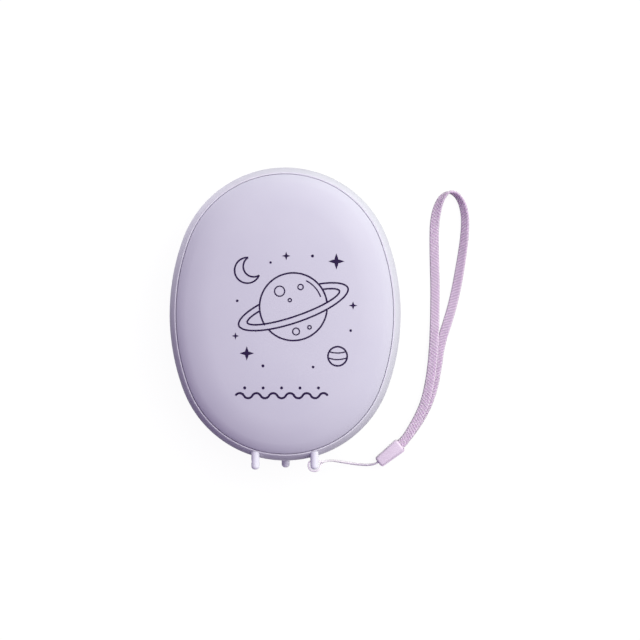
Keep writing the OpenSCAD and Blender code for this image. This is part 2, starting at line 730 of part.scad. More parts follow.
module strap_string() color("lavenderblush") round_cord(string_route, cord_r);

// Wrist band: each point holds the place and the lean, 90 for flat with the outer face up
band_route = [
  [38.22, -46.78, 2.8, 90],
  [39.94, -45.4, 2.8, 90],
  [41.2, -44.3, 2.7, 90],
  [43.3, -41.3, 2.3, 90],
  [46.2, -36.3, 1.7, 90],
  [48.5, -31, 1.6, 90],
  [50, -25, 1.6, 90],
  [51, -18.6, 1.6, 90],
  [51.6, -12, 1.6, 90],
  [51.9, -6, 1.5, 90],
  [52.1, 0, 1, 90],
  [52.2, 9, 0.6, 90],
  [52, 18, 0.6, 90],
  [51.9, 26, 0.6, 90],
  [52.1, 32, 0.7, 84],
  [53, 37, 1.1, 66],
  [54.7, 40.8, 1.6, 36],
  [57.2, 42.6, 1.8, 0],
  [59.7, 41.6, 1.7, -28],
  [61.6, 38.6, 1.6, -44],
  [62.6, 34, 1.5, -54],
  [62.5, 28, 1.4, -60],
  [61.8, 22, 1.2, -66],
  [60.8, 15.6, 1, -74],
  [59.7, 9.4, 0.7, -84],
  [58.3, 3.2, 0.5, -90],
  [56.5, -3, 0.5, -90],
  [54.9, -8, 0.5, -90],
  [53.8, -12.6, 0.5, -90],
  [53, -18, 0.5, -90],
  [51.7, -25, 0.5, -90],
  [49.6, -31.4, 0.5, -90],
  [46.8, -36.8, 0.6, -90],
  [43.6, -41.4, 1.1, -90],
  [41.2, -44.3, 1.5, -90],
  [39.94, -45.4, 1.6, -90],
  [38.22, -46.78, 1.6, -90]
];
band_edge = 0.3;
// A flat ring with eased edges, its width leaning by the point's fourth number
function band_ring(p, i) =
  let (
    t = ahead(p, i),
    side = unit(cross(up, t)),
    top = cross(t, side),
    out = cos(p[i][3]) * side + sin(p[i][3]) * top,
    across = cross(t, out),
    w = band_w / 2,
    h = band_t / 2,
    e = band_edge * band_t,
    right = [[w, -h + e], [w, h - e], [w - e, h]],
    left = [[-w + e, h], [-w, h - e], [-w, -h + e], [-w + e, -h]],
    corners = concat(right, left, [[w - e, -h]])
  )
  [for (c = corners) spot(p[i]) + c[0] * across + c[1] * out];
module strap_band() color("plum") tube([for (i = [0 : len(band_route) - 1]) band_ring(band_route, i)]);
echo(string_l = path_l(string_route), band_l = path_l(band_route));

frame();
front_cover();
rear_cover();
front_heater_film();
front_heat_plate();
front_pad();
rear_heater_film();
rear_heat_plate();
rear_pad();
thermistor_front();
thermistor_rear();
battery_tray();
battery_cell();
protection_board();
for (i = [1 : screw_count]) tray_screw(i);
main_board();
for (i = [1 : board_screw_count]) board_screw(i);
usb_c_shell();
usb_c_tongue();
control_ic();
inductor();
battery_socket();
heater_socket();
tact_switch();
switch_plunger();
power_button();
light_pipe();
for (i = [1 : light_count]) indicator_led(i);
battery_lead_plus();
battery_lead_minus();
heater_lead_front();
heater_lead_rear();
foot_front_left();
foot_front_right();
foot_rear();
strap_string();
strap_clip_upper();
strap_clip_lower();
strap_band();
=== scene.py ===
import math

import bpy
from mathutils import Matrix, Vector


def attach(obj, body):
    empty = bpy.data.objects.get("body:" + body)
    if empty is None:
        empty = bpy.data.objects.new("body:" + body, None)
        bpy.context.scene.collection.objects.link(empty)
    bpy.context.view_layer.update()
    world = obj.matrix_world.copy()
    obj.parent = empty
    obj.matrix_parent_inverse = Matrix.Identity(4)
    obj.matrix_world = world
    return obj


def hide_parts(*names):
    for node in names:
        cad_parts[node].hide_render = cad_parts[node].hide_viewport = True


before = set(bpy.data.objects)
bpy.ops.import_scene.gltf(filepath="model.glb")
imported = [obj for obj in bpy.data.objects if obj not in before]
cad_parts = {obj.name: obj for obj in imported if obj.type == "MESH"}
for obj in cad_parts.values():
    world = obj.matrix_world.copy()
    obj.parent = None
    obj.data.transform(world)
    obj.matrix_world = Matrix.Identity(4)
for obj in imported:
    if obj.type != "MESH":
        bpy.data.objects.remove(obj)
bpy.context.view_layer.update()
mm = 0.001
quarter = math.pi / 2
weldGap = 1e-6  # in metres

# Camera, straight above the warmer as in the picture; lengths here and below are in mm unless noted
photoCamera = {"x": 11.9, "y": -2.05, "z": 613.6154, "lens": 98.45, "sensor": 36}


def makeCamera(c):
    bpy.ops.object.camera_add(location=(c["x"] * mm, c["y"] * mm, c["z"] * mm), rotation=(0, 0, 0))
    camera = bpy.context.object
    camera.name = "photoCamera"
    camera.data.lens = c["lens"]
    camera.data.sensor_width = c["sensor"]
    camera.data.clip_start = 0.01
    bpy.context.scene.camera = camera


makeCamera(photoCamera)
print("camera placed")


# Small helpers for selecting and editing
def deselect():
    if bpy.context.mode != "OBJECT":
        bpy.ops.object.mode_set(mode="OBJECT")
    bpy.ops.object.select_all(action="DESELECT")


def pick(*pieces):
    deselect()
    for piece in pieces:
        piece.select_set(True)
    bpy.context.view_layer.objects.active = pieces[0]


def edit(piece, kind="VERT"):
    pick(piece)
    bpy.ops.object.mode_set(mode="EDIT")
    bpy.ops.mesh.select_mode(type=kind)
    bpy.ops.mesh.select_all(action="DESELECT")


def leaveEdit():
    bpy.ops.object.mode_set(mode="OBJECT")


def selectFaces(piece, test):
    # test gets each face's middle and normal; leaves the piece in edit mode
    edit(piece, "FACE")
    leaveEdit()
    for face in piece.data.polygons:
        face.select = test(face.center, face.normal)
    bpy.ops.object.mode_set(mode="EDIT")


def selectVerts(piece, test):
    edit(piece, "VERT")
    leaveEdit()
    for vert in piece.data.vertices:
        vert.select = test(vert.co)
    bpy.ops.object.mode_set(mode="EDIT")


def selectEdges(piece, test):
    # test gets each edge's two ends
    edit(piece, "EDGE")
    leaveEdit()
    verts = piece.data.vertices
    for line in piece.data.edges:
        line.select = test(*(verts[i].co for i in line.vertices))
    bpy.ops.object.mode_set(mode="EDIT")


def applyPlace(piece):
    pick(piece)
    bpy.ops.object.transform_apply(location=True, rotation=True, scale=True)


def applyAll(piece):
    pick(piece)
    for modifier in list(piece.modifiers):
        bpy.ops.object.modifier_apply(modifier=modifier.name)


def smooth(piece, degrees=35):
    pick(piece)
    bpy.ops.object.shade_smooth_by_angle(angle=math.radians(degrees))


def outward(piece):
    edit(piece)
    bpy.ops.mesh.select_all(action="SELECT")
    bpy.ops.mesh.remove_doubles(threshold=weldGap)
    bpy.ops.mesh.normals_make_consistent(inside=False)
    leaveEdit()


def spin(steps, degrees, centre, axis):
    # the spin tool turns clockwise about its axis, so the angle is given the other way round
    bpy.ops.mesh.spin(steps=steps, angle=-math.radians(degrees), center=centre, axis=axis)


def copyOf(piece, name):
    pick(piece)
    bpy.ops.object.duplicate(linked=False)
    twin = bpy.context.object
    twin.name = name
    return twin


def cut(piece, cutter):
    modifier = piece.modifiers.new("cut", "BOOLEAN")
    modifier.operation = "DIFFERENCE"
    modifier.solver = "EXACT"
    modifier.object = cutter
    applyAll(piece)
    bpy.data.objects.remove(cutter)


def startChain(name, spot):
    # a single vertex at a spot, selected in edit mode and ready to be extruded
    deselect()
    bpy.ops.mesh.primitive_plane_add(size=mm, location=(0, 0, 0))
    piece = bpy.context.object
    piece.name = name
    bpy.ops.object.mode_set(mode="EDIT")
    bpy.ops.mesh.select_mode(type="VERT")
    bpy.ops.mesh.select_all(action="SELECT")
    bpy.ops.mesh.merge(type="CENTER")
    bpy.ops.transform.translate(value=spot)
    return piece


def drawOutline(name, points, thick):
    # a closed outline of points in mm, filled and made thick along X, half to each side
    points = [Vector(p) * mm for p in points]
    through = Vector((thick * mm, 0, 0))
    piece = startChain(name, points[0] - through / 2)
    for before, after in zip(points, points[1:]):
        bpy.ops.mesh.extrude_vertices_move(TRANSFORM_OT_translate={"value": after - before})
    bpy.ops.mesh.select_all(action="SELECT")
    bpy.ops.mesh.edge_face_add()
    bpy.ops.mesh.extrude_region_move(TRANSFORM_OT_translate={"value": through})
    leaveEdit()
    outward(piece)
    return piece


def turnTo(piece, x, y, degrees):
    # moves a piece drawn with +Y pointing out of the edge to its place on the oval
    piece.location = (x * mm, y * mm, 0)
    piece.rotation_euler = (0, 0, math.radians(degrees))
    applyPlace(piece)
    return piece


def pillBar(name, length, height, start, end, z):
    # a pill-shaped bar along Y
    deselect()
    bpy.ops.mesh.primitive_circle_add(vertices=48, radius=height / 2 * mm, fill_type="NGON",
                                      location=(0, start * mm, z * mm), rotation=(quarter, 0, 0))
    piece = bpy.context.object
    piece.name = name
    applyPlace(piece)
    for side in (-1, 1):
        selectVerts(piece, lambda v: v.x * side > weldGap)
        bpy.ops.transform.translate(value=(side * (length - height) / 2 * mm, 0, 0))
        leaveEdit()
    edit(piece)
    bpy.ops.mesh.select_all(action="SELECT")
    bpy.ops.mesh.extrude_region_move(TRANSFORM_OT_translate={"value": (0, (end - start) * mm, 0)})
    leaveEdit()
    outward(piece)
    return piece


def rodAlong(name, radius, x, start, end, z, sides=40):
    deselect()
    bpy.ops.mesh.primitive_cylinder_add(vertices=sides, radius=radius * mm, depth=(end - start) * mm,
                                        location=(x * mm, (start + end) / 2 * mm, z * mm),
                                        rotation=(quarter, 0, 0))
    piece = bpy.context.object
    piece.name = name
    applyPlace(piece)
    return piece


def brick(name, size, centre):
    deselect()
    bpy.ops.mesh.primitive_cube_add(size=1, location=Vector(centre) * mm, scale=Vector(size) * mm)
    piece = bpy.context.object
    piece.name = name
    applyPlace(piece)
    return piece


def joinUp(pieces, name):
    pick(*pieces)
    bpy.ops.object.join()
    pieces[0].name = name
    return pieces[0]


def wear(piece, material):
    piece.data.materials.clear()
    piece.data.materials.append(material)


def place(piece, body, slot, *nodes):
    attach(piece, body)
    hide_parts(*nodes)


# Colours are written as they look on screen, 0 to 255
def shade(red, green, blue):
    def linear(v):
        v /= 255
        return v / 12.92 if v <= 0.04045 else ((v + 0.055) / 1.055) ** 2.4

    return (linear(red), linear(green), linear(blue), 1)


# Node groups shared by several materials
def startGroup(name, inputs, outputs):
    tree = bpy.data.node_groups.new(name, "ShaderNodeTree")
    for label, kind, value in inputs:
        socket = tree.interface.new_socket(name=label, in_out="INPUT", socket_type="NodeSocket" + kind)
        socket.default_value = value
    for label, kind in outputs:
        tree.interface.new_socket(name=label, in_out="OUTPUT", socket_type="NodeSocket" + kind)
    return tree, tree.nodes.new("NodeGroupInput"), tree.nodes.new("NodeGroupOutput")


def feed(tree, socket, value):
    # value is another node's output or a plain number or colour
    if hasattr(value, "is_output"):
        tree.links.new(value, socket)
    else:
        socket.default_value = value


def noise(tree, vector, scale, detail=2, rough=0.5):
    node = tree.nodes.new("ShaderNodeTexNoise")
    tree.links.new(vector, node.inputs["Vector"])
    feed(tree, node.inputs["Scale"], scale)
    node.inputs["Detail"].default_value = detail
    node.inputs["Roughness"].default_value = rough
    return node.outputs["Fac"]


def spread(tree, value, fromLow, fromHigh, toLow, toHigh):
    node = tree.nodes.new("ShaderNodeMapRange")
    tree.links.new(value, node.inputs["Value"])
    for label, v in (("From Min", fromLow), ("From Max", fromHigh), ("To Min", toLow), ("To Max", toHigh)):
        feed(tree, node.inputs[label], v)
    return node.outputs["Result"]


def maths(tree, operation, first, second=None):
    node = tree.nodes.new("ShaderNodeMath")
    node.operation = operation
    for slot, v in enumerate((first, second)):
        if v is not None:
            feed(tree, node.inputs[slot], v)
    return node.outputs[0]


def blendColours(tree, factor, first, second):
    node = tree.nodes.new("ShaderNodeMix")
    node.data_type = "RGBA"
    tree.links.new(factor, node.inputs[0])
    for slot, v in ((6, first), (7, second)):
        feed(tree, node.inputs[slot], v)
    return node.outputs[2]


plasticSkin = {
    "patchRange": (0.3, 0.7), "glossScale": 420, "glossRange": (0.25, 0.75), "lightReach": (0.6, 0.4, 0.8),
}


def makeMouldedSkin(s):
    # painted or moulded plastic: soft colour patches, a fine grain and uneven gloss
    tree, given, made = startGroup(
        "mouldedSkin",
        [("Colour", "Color", (0.5, 0.5, 0.5, 1)), ("Patch Colour", "Color", (0.5, 0.5, 0.5, 1)),
         ("Patch Scale", "Float", 60), ("Grain Scale", "Float", 2500),
         ("Least Roughness", "Float", 0.3), ("Most Roughness", "Float", 0.4)],
        [("Colour", "Color"), ("Roughness", "Float"), ("Height", "Float")])
    where = tree.nodes.new("ShaderNodeTexCoord").outputs["Object"]
    patches = noise(tree, where, given.outputs["Patch Scale"], 3)
    grain = noise(tree, where, given.outputs["Grain Scale"], 2)
    gloss = noise(tree, where, s["glossScale"], 3)
    soft = spread(tree, patches, *s["patchRange"], 0, 1)
    tree.links.new(blendColours(tree, soft, given.outputs["Colour"], given.outputs["Patch Colour"]),
                   made.inputs["Colour"])
    tree.links.new(spread(tree, gloss, *s["glossRange"], given.outputs["Least Roughness"],
                          given.outputs["Most Roughness"]), made.inputs["Roughness"])
    tree.links.new(grain, made.inputs["Height"])
    return tree


metalStreaks = {"stretch": (60, 2600, 2600), "glossRange": (0.2, 0.8)}


def makeBrushedMetal(s):
    # rolled or drawn metal: streaks along one axis
    tree, given, made = startGroup(
        "brushedMetal",
        [("Colour", "Color", (0.5, 0.5, 0.5, 1)), ("Streak Colour", "Color", (0.4, 0.4, 0.4, 1)),
         ("Least Roughness", "Float", 0.2), ("Most Roughness", "Float", 0.4)],
        [("Colour", "Color"), ("Roughness", "Float"), ("Height", "Float")])
    where = tree.nodes.new("ShaderNodeTexCoord").outputs["Object"]
    stretch = tree.nodes.new("ShaderNodeMapping")
    stretch.inputs["Scale"].default_value = s["stretch"]
    tree.links.new(where, stretch.inputs["Vector"])
    streaks = noise(tree, stretch.outputs[0], 1, 3)
    tree.links.new(blendColours(tree, streaks, given.outputs["Colour"], given.outputs["Streak Colour"]),
                   made.inputs["Colour"])
    tree.links.new(spread(tree, streaks, *s["glossRange"], given.outputs["Least Roughness"],
                          given.outputs["Most Roughness"]), made.inputs["Roughness"])
    tree.links.new(streaks, made.inputs["Height"])
    return tree


tapeWeave = {"yarnSway": 0.9, "fuzzScale": 9, "heightRange": (-0.7, 1.3)}


def makeWovenTape(s):
    # ribs across the tape and warp yarns along it, from the piece's own UV in mm; the low hollows get a
    # darker colour as painted shade
    tree, given, made = startGroup(
        "wovenTape",
        [("Colour", "Color", (0.5, 0.5, 0.5, 1)), ("Hollow Shade Colour", "Color", (0.4, 0.4, 0.4, 1)),
         ("Rib Pitch", "Float", 0.7), ("Yarn Pitch", "Float", 0.3), ("Slant", "Float", 0)],
        [("Colour", "Color"), ("Height", "Float")])
    uv = tree.nodes.new("ShaderNodeUVMap")
    split = tree.nodes.new("ShaderNodeSeparateXYZ")
    tree.links.new(uv.outputs[0], split.inputs[0])
    fullTurn = 2 * math.pi
    lean = maths(tree, "MULTIPLY", split.outputs["Y"], given.outputs["Slant"])
    run = maths(tree, "ADD", split.outputs["X"], lean)
    ribs = maths(tree, "DIVIDE", run, given.outputs["Rib Pitch"])
    yarns = maths(tree, "DIVIDE", split.outputs["Y"], given.outputs["Yarn Pitch"])
    along = maths(tree, "MULTIPLY", ribs, fullTurn)
    across = maths(tree, "MULTIPLY", yarns, fullTurn)
    rib = maths(tree, "COSINE", along)
    yarn = maths(tree, "COSINE", maths(tree, "ADD", across, maths(tree, "MULTIPLY", rib, s["yarnSway"])))
    lift = maths(tree, "ADD", maths(tree, "MULTIPLY", rib, 0.5), maths(tree, "MULTIPLY", yarn, 0.5))
    fuzz = noise(tree, uv.outputs[0], s["fuzzScale"], 3)
    high = maths(tree, "ADD", lift, fuzz)
    light = spread(tree, high, *s["heightRange"], 0, 1)
    # painted shade: the low hollows of the weave take the darker hollow colour
    tree.links.new(blendColours(tree, light, given.outputs["Hollow Shade Colour"], given.outputs["Colour"]),
                   made.inputs["Colour"])
    tree.links.new(high, made.inputs["Height"])
    return tree


mouldedSkin = makeMouldedSkin(plasticSkin)
brushedMetal = makeBrushedMetal(metalStreaks)
wovenTape = makeWovenTape(tapeWeave)


def startMaterial(name):
    material = bpy.data.materials.new(name)
    material.use_nodes = True
    tree = material.node_tree
    shader = tree.nodes["Principled BSDF"]
    return material, tree, shader


def addGroup(tree, group, values):
    node = tree.nodes.new("ShaderNodeGroup")
    node.node_tree = group
    for label, value in values.items():
        node.inputs[label].default_value = value
    return node


def addBump(tree, height, shader, strength, distance):
    # distance in mm
    bump = tree.nodes.new("ShaderNodeBump")
    bump.inputs["Strength"].default_value = strength
    bump.inputs["Distance"].default_value = distance * mm
    tree.links.new(height, bump.inputs["Height"])
    tree.links.new(bump.outputs["Normal"], shader.inputs["Normal"])


def moulded(name, colour, patch, rough, grain=2500, bump=(0.2, 0.02), specular=0.5, patchScale=60,
            subsurface=0, pearl=0):
    # rough is the least and most roughness, bump its strength and distance
    material, tree, shader = startMaterial(name)
    skin = addGroup(tree, mouldedSkin, {"Colour": colour, "Patch Colour": patch, "Patch Scale": patchScale,
                                        "Grain Scale": grain, "Least Roughness": rough[0],
                                        "Most Roughness": rough[1]})
    tree.links.new(skin.outputs["Colour"], shader.inputs["Base Color"])
    tree.links.new(skin.outputs["Roughness"], shader.inputs["Roughness"])
    shader.inputs["Specular IOR Level"].default_value = specular
    shader.inputs["Metallic"].default_value = pearl
    shader.inputs["Subsurface Weight"].default_value = subsurface
    shader.inputs["Subsurface Radius"].default_value = plasticSkin["lightReach"]
    shader.inputs["Subsurface Scale"].default_value = mm
    addBump(tree, skin.outputs["Height"], shader, *bump)
    return material


def brushed(name, colour, streak, rough, bump=(0.15, 0.01)):
    material, tree, shader = startMaterial(name)
    metal = addGroup(tree, brushedMetal, {"Colour": colour, "Streak Colour": streak,
                                          "Least Roughness": rough[0], "Most Roughness": rough[1]})
    tree.links.new(metal.outputs["Colour"], shader.inputs["Base Color"])
    tree.links.new(metal.outputs["Roughness"], shader.inputs["Roughness"])
    shader.inputs["Metallic"].default_value = 1
    addBump(tree, metal.outputs["Height"], shader, *bump)
    return material


satinLilac = moulded("satinLilac", shade(211, 208, 223), shade(208, 205, 221), (0.4, 0.48),
                     grain=3200, bump=(0.12, 0.02), specular=0.12)
rimLilac = moulded("rimLilac", shade(214, 212, 223), shade(210, 208, 220), (0.38, 0.46),
                   grain=3200, bump=(0.12, 0.02), specular=0.03)
# painted highlight: a paler lip colour that stands in for the light the seam's edge catches
lipHighlightLilac = moulded("lipHighlightLilac", shade(246, 242, 252), shade(242, 238, 249), (0.16, 0.22),
                   grain=3200, bump=(0.1, 0.02), specular=0.5, pearl=0.4)
footPlastic = moulded("footPlastic", shade(238, 236, 248), shade(234, 232, 245), (0.24, 0.32),
                      grain=2600, bump=(0.1, 0.02))
buttonPlastic = moulded("buttonPlastic", shade(196, 186, 219), shade(190, 180, 214), (0.3, 0.38),
                        grain=2800, bump=(0.12, 0.02))
clipPlastic = moulded("clipPlastic", shade(236, 219, 238), shade(232, 213, 235), (0.17, 0.25),
                      grain=2200, bump=(0.15, 0.03))
inkPurple = moulded("inkPurple", shade(46, 30, 73), shade(41, 26, 65), (0.4, 0.5),
                    grain=4200, bump=(0.25, 0.02), patchScale=400, specular=0.12)
portSteel = brushed("portSteel", shade(200, 200, 204), shade(176, 176, 182), (0.2, 0.34))
print("first materials made")

# Strap: points repeated from the CAD source, in mm; the band's fourth number is its lean in degrees
strapString = {
    "radius": 0.35, "strands": 3, "lobe": 0.08, "twist": 2.6, "sides": 15, "step": 0.2, "pathEvery": 4,
    "route": [
        (32.98, -50.96, 2.7), (32.2, -51.58, 2.7), (31.2, -52.2, 2.6), (28.5, -52.6, 1.6),
        (24.5, -52.3, 1.4), (20.5, -51.6, 3), (17.2, -50.7, 8), (15, -50.3, 14), (13.2, -50.1, 19),
        (11.6, -49.98, 20.2), (10, -49.96, 20.2), (8.4, -50.1, 20.2), (8.02, -51.4, 20.2),
        (8.6, -52.85, 20.1), (10.1, -53.3, 20), (11.6, -52.75, 19.9), (12, -51.6, 19.5),
        (12.4, -50.75, 18.4), (13.5, -50.35, 15.6), (14.9, -50.45, 11.3), (16.6, -50.9, 6.6),
        (19.9, -51.8, 2), (24.5, -52.6, 0.5), (28.5, -52.85, 0.6), (31.2, -52.35, 1.4),
        (32.2, -51.58, 1.7), (32.98, -50.96, 1.7)],
}
strapBand = {
    "width": 3.3, "thick": 1, "ribPitch": 1.05, "ribDepth": 0.07, "slant": 0.62, "edgeRound": 0.36,
    "edgeIn": 0.1, "edgeRise": 0.7, "stepsPerRib": 7, "acrossSteps": 14, "pathEvery": 5,
    "route": [
        (38.22, -46.78, 2.8, 90), (39.94, -45.4, 2.8, 90), (41.2, -44.3, 2.7, 90), (43.3, -41.3, 2.3, 90),
        (46.2, -36.3, 1.7, 90), (48.5, -31, 1.6, 90), (50, -25, 1.6, 90), (51, -18.6, 1.6, 90),
        (51.6, -12, 1.6, 90), (51.9, -6, 1.5, 90), (52.1, 0, 1, 90), (52.2, 9, 0.6, 90),
        (52, 18, 0.6, 90), (51.9, 26, 0.6, 90), (52.1, 32, 0.7, 84), (53, 37, 1.1, 66),
        (54.7, 40.8, 1.6, 36), (57.2, 42.6, 1.8, 0), (59.7, 41.6, 1.7, -28), (61.6, 38.6, 1.6, -44),
        (62.6, 34, 1.5, -54), (62.5, 28, 1.4, -60), (61.8, 22, 1.2, -66), (60.8, 15.6, 1, -74),
        (59.7, 9.4, 0.7, -84), (58.3, 3.2, 0.5, -90), (56.5, -3, 0.5, -90), (54.9, -8, 0.5, -90),
        (53.8, -12.6, 0.5, -90), (53, -18, 0.5, -90), (51.7, -25, 0.5, -90), (49.6, -31.4, 0.5, -90),
        (46.8, -36.8, 0.6, -90), (43.6, -41.4, 1.1, -90), (41.2, -44.3, 1.5, -90),
        (39.94, -45.4, 1.6, -90), (38.22, -46.78, 1.6, -90)],
}


def smoothRoute(points, step, fineSteps=24):
    # a smooth curve through the points, then evenly spaced spots on it
    points = [Vector((*p, 0)[:4]) for p in points]  # a point without a lean gets 0
    fine = []
    for i in range(len(points) - 1):
        a, b, c, d = (points[max(i - 1, 0)], points[i], points[i + 1], points[min(i + 2, len(points) - 1)])
        for k in range(fineSteps):
            t = k / fineSteps
            fine.append(0.5 * (2 * b + (c - a) * t + (2 * a - 5 * b + 4 * c - d) * t * t
                               + (3 * b - a - 3 * c + d) * t ** 3))
    fine.append(points[-1])
    run = [0]
    for before, after in zip(fine, fine[1:]):
        run.append(run[-1] + (after - before).resized(3).length)
    count = round(run[-1] / step)
    spots, j = [], 0
    for i in range(count + 1):
        want = run[-1] * i / count
        while j < len(run) - 2 and run[j + 1] < want:
            j += 1
        spots.append(fine[j].lerp(fine[j + 1], (want - run[j]) / (run[j + 1] - run[j])))
    return spots, run[-1]


def sweepRings(name, spots, ring):
    # ring(along) gives the section's points as (across, out); UV is (mm along, mm round)
    verts, total = [], 0
    sides = len(ring(0))
    places = [s.resized(3) for s in spots]
    marks = []
    for i, spot in enumerate(spots):
        if i:
            total += (places[i] - places[i - 1]).length
        ahead = (places[min(i + 1, len(places) - 1)] - places[max(i - 1, 0)]).normalized()
        side = Vector((0, 0, 1)).cross(ahead).normalized()
        top = ahead.cross(side)
        lean = math.radians(spot[3])
        out = math.cos(lean) * side + math.sin(lean) * top
        across = ahead.cross(out)
        section = ring(total)
        marks.append((total, section))
        verts += [places[i] + a * across + o * out for a, o in section]
    last = len(spots) - 1
    faces = [tuple(range(sides - 1, -1, -1))]
    for i in range(last):
        for k in range(sides):
            n = (k + 1) % sides
            faces.append((i * sides + k, i * sides + n, (i + 1) * sides + n, (i + 1) * sides + k))
    faces.append(tuple(last * sides + k for k in range(sides)))
    mesh = bpy.data.meshes.new(name)
    mesh.from_pydata([v * mm for v in verts], [], faces)
    uv = mesh.uv_layers.new(name="along")
    loop = 0
    for face in mesh.polygons:
        for vert in face.vertices:
            i, k = divmod(vert, sides)
            along, section = marks[i]
            uv.data[loop].uv = (along, section[k][0] + 0.5 * section[k][1])
            loop += 1
    piece = bpy.data.objects.new(name, mesh)
    bpy.context.collection.objects.link(piece)
    return piece


def makeString(s):
    spots, length = smoothRoute(s["route"], s["step"])

    def ring(along):
        turn = 2 * math.pi * along / s["twist"]
        points = []
        for k in range(s["sides"]):
            a = -2 * math.pi * k / s["sides"]
            r = s["radius"] * (1 - s["lobe"] * (0.5 - 0.5 * math.cos(s["strands"] * a + turn)))
            points.append((r * math.cos(a), r * math.sin(a)))
        return points

    piece = sweepRings("strapStringTwisted", spots, ring)
    smooth(piece, 60)
    return piece, spots, length


def makeBand(b):
    step = b["ribPitch"] / b["stepsPerRib"]
    spots, length = smoothRoute(b["route"], step)
    w, h, e = b["width"] / 2, b["thick"] / 2, b["edgeRound"]

    def ring(along):
        # a flat tape with rounded edges; ribs run slantwise across both faces
        count = b["acrossSteps"]
        level = [((w - e) * (1 - 2 * k / count), h) for k in range(count + 1)]
        side, rise = w - b["edgeIn"], e * b["edgeRise"]
        upper = [(w, 0), (side, rise), *level, (-side, rise)]
        points = []
        for a, o in upper + [(-a, -o) for a, o in upper]:
            rib = 0.5 + 0.5 * math.cos(2 * math.pi * (along + b["slant"] * (a + 0.5 * o)) / b["ribPitch"])
            points.append((a, o * (1 - b["ribDepth"] / h * (1 - rib))))
        return points[::-1]

    piece = sweepRings("strapBandWoven", spots, ring)
    smooth(piece, 60)
    return piece, spots, length


yarnFinish = {
    "roughness": 0.75, "specular": 0.3, "sheen": 0.25, "sheenRoughness": 0.5,
    "lightReach": (1.8, 1.6, 1.8), "bumpDistance": 0.05,
}


def tapeMaterial(name, colour, hollow, ribPitch, yarnPitch, strength, slant=0, through=0):
    # through is how much light the yarn lets through; hollow is the painted shade colour for the weave's
    # hollows
    material, tree, shader = startMaterial(name)
    weave = addGroup(tree, wovenTape, {"Colour": colour, "Hollow Shade Colour": hollow, "Rib Pitch": ribPitch,
                                       "Yarn Pitch": yarnPitch, "Slant": slant})
    tree.links.new(weave.outputs["Colour"], shader.inputs["Base Color"])
    shader.inputs["Roughness"].default_value = yarnFinish["roughness"]
    shader.inputs["Specular IOR Level"].default_value = yarnFinish["specular"]
    shader.inputs["Sheen Weight"].default_value = yarnFinish["sheen"]
    shader.inputs["Sheen Roughness"].default_value = yarnFinish["sheenRoughness"]
    shader.inputs["Subsurface Weight"].default_value = through
    shader.inputs["Subsurface Radius"].default_value = yarnFinish["lightReach"]
    shader.inputs["Subsurface Scale"].default_value = mm
    addBump(tree, weave.outputs["Height"], shader, strength, yarnFinish["bumpDistance"])
    return material


stringPiece, stringSpots, stringLength = makeString(strapString)
bandPiece, bandSpots, bandLength = makeBand(strapBand)
# the second colour of each is the painted shade in the weave's hollows
wear(stringPiece, tapeMaterial("stringYarn", shade(254, 246, 254), shade(247, 236, 249), ribPitch=0.87,
                               yarnPitch=0.35, strength=0.2))
wear(bandPiece, tapeMaterial("bandWeave", shade(227, 206, 228), shade(186, 164, 191),
                             ribPitch=strapBand["ribPitch"], yarnPitch=0.33, strength=0.5,
                             slant=strapBand["slant"], through=0.8))
place(stringPiece, "case", "string", "strap_string")
place(bandPiece, "case", "band", "strap_band")

# Clip in two halves, wider where the band enters; the lower half stands out a little
strapClip = {
    "start": (32.2, -51.58), "turn": 38.6, "length": 9.9, "frontW": 3.4, "rearW": 4.6, "height": 4.4,
    "frontCorner": 0.8, "rearCorner": 1.05, "soft": 0.7, "roundSteps": 6, "split": 0.1, "ledge": 0.3,
    "shift": 0.3, "bandPocket": (2.6, 3.7, 2.6), "cordSlot": (1.6, 1.1, 2.1),
}


def makeClipHalf(c, name, upper):
    # a brick narrowed at the cord's end, its corners and outer edges rounded, then the two pockets cut
    grow = 0 if upper else c["ledge"]
    half = (c["height"] - c["split"]) / 2
    middle = c["height"] - half / 2 if upper else half / 2
    outer = (c["height"] if upper else 0) * mm
    belly = c["length"] / 2 * mm
    piece = brick(name, (c["length"] + grow, c["rearW"] + 2 * grow, half), (c["length"] / 2, 0, middle))
    selectVerts(piece, lambda v: v.x < belly)
    narrow = (c["frontW"] + 2 * grow) / (c["rearW"] + 2 * grow)
    bpy.ops.transform.resize(value=(1, narrow, 1), center_override=(0, 0, 0))
    leaveEdit()
    for front, corner in ((True, c["frontCorner"]), (False, c["rearCorner"])):
        selectEdges(piece, lambda a, b: abs(a.z - b.z) > mm and (a.x < belly) == front)
        bpy.ops.mesh.bevel(offset=corner * mm, segments=c["roundSteps"], affect="EDGES")
        leaveEdit()
    selectEdges(piece, lambda a, b: max(abs(a.z - outer), abs(b.z - outer)) < 10 * weldGap)
    bpy.ops.mesh.bevel(offset=c["soft"] * mm, segments=c["roundSteps"], affect="EDGES")
    leaveEdit()
    for (deep, wide, high), x in ((c["bandPocket"], c["length"]), (c["cordSlot"], 0)):
        cut(piece, brick("pocket", (2 * deep, wide, high), (x, 0, c["height"] / 2)))
    if not upper:
        piece.location.y = -c["shift"] * mm
        applyPlace(piece)
    outward(piece)
    turnTo(piece, *c["start"], c["turn"])
    smooth(piece, 40)
    wear(piece, clipPlastic)
    return piece


clipUpper = makeClipHalf(strapClip, "strapClipUpper", True)
clipLower = makeClipHalf(strapClip, "strapClipLower", False)
place(clipUpper, "case", "strap_clip", "strap_clip_upper")
place(clipLower, "case", "strap_clip", "strap_clip_lower")


def routePoints(spots, every):
    # some of the spots, the last always among them, in metres
    kept = spots[::every] + ([spots[-1]] if (len(spots) - 1) % every else [])
    return [tuple(s.resized(3) * mm) for s in kept]


routePoints(stringSpots, strapString["pathEvery"])
routePoints(bandSpots, strapBand["pathEvery"])
print("string", round(stringLength, 1), "band", round(bandLength, 1))

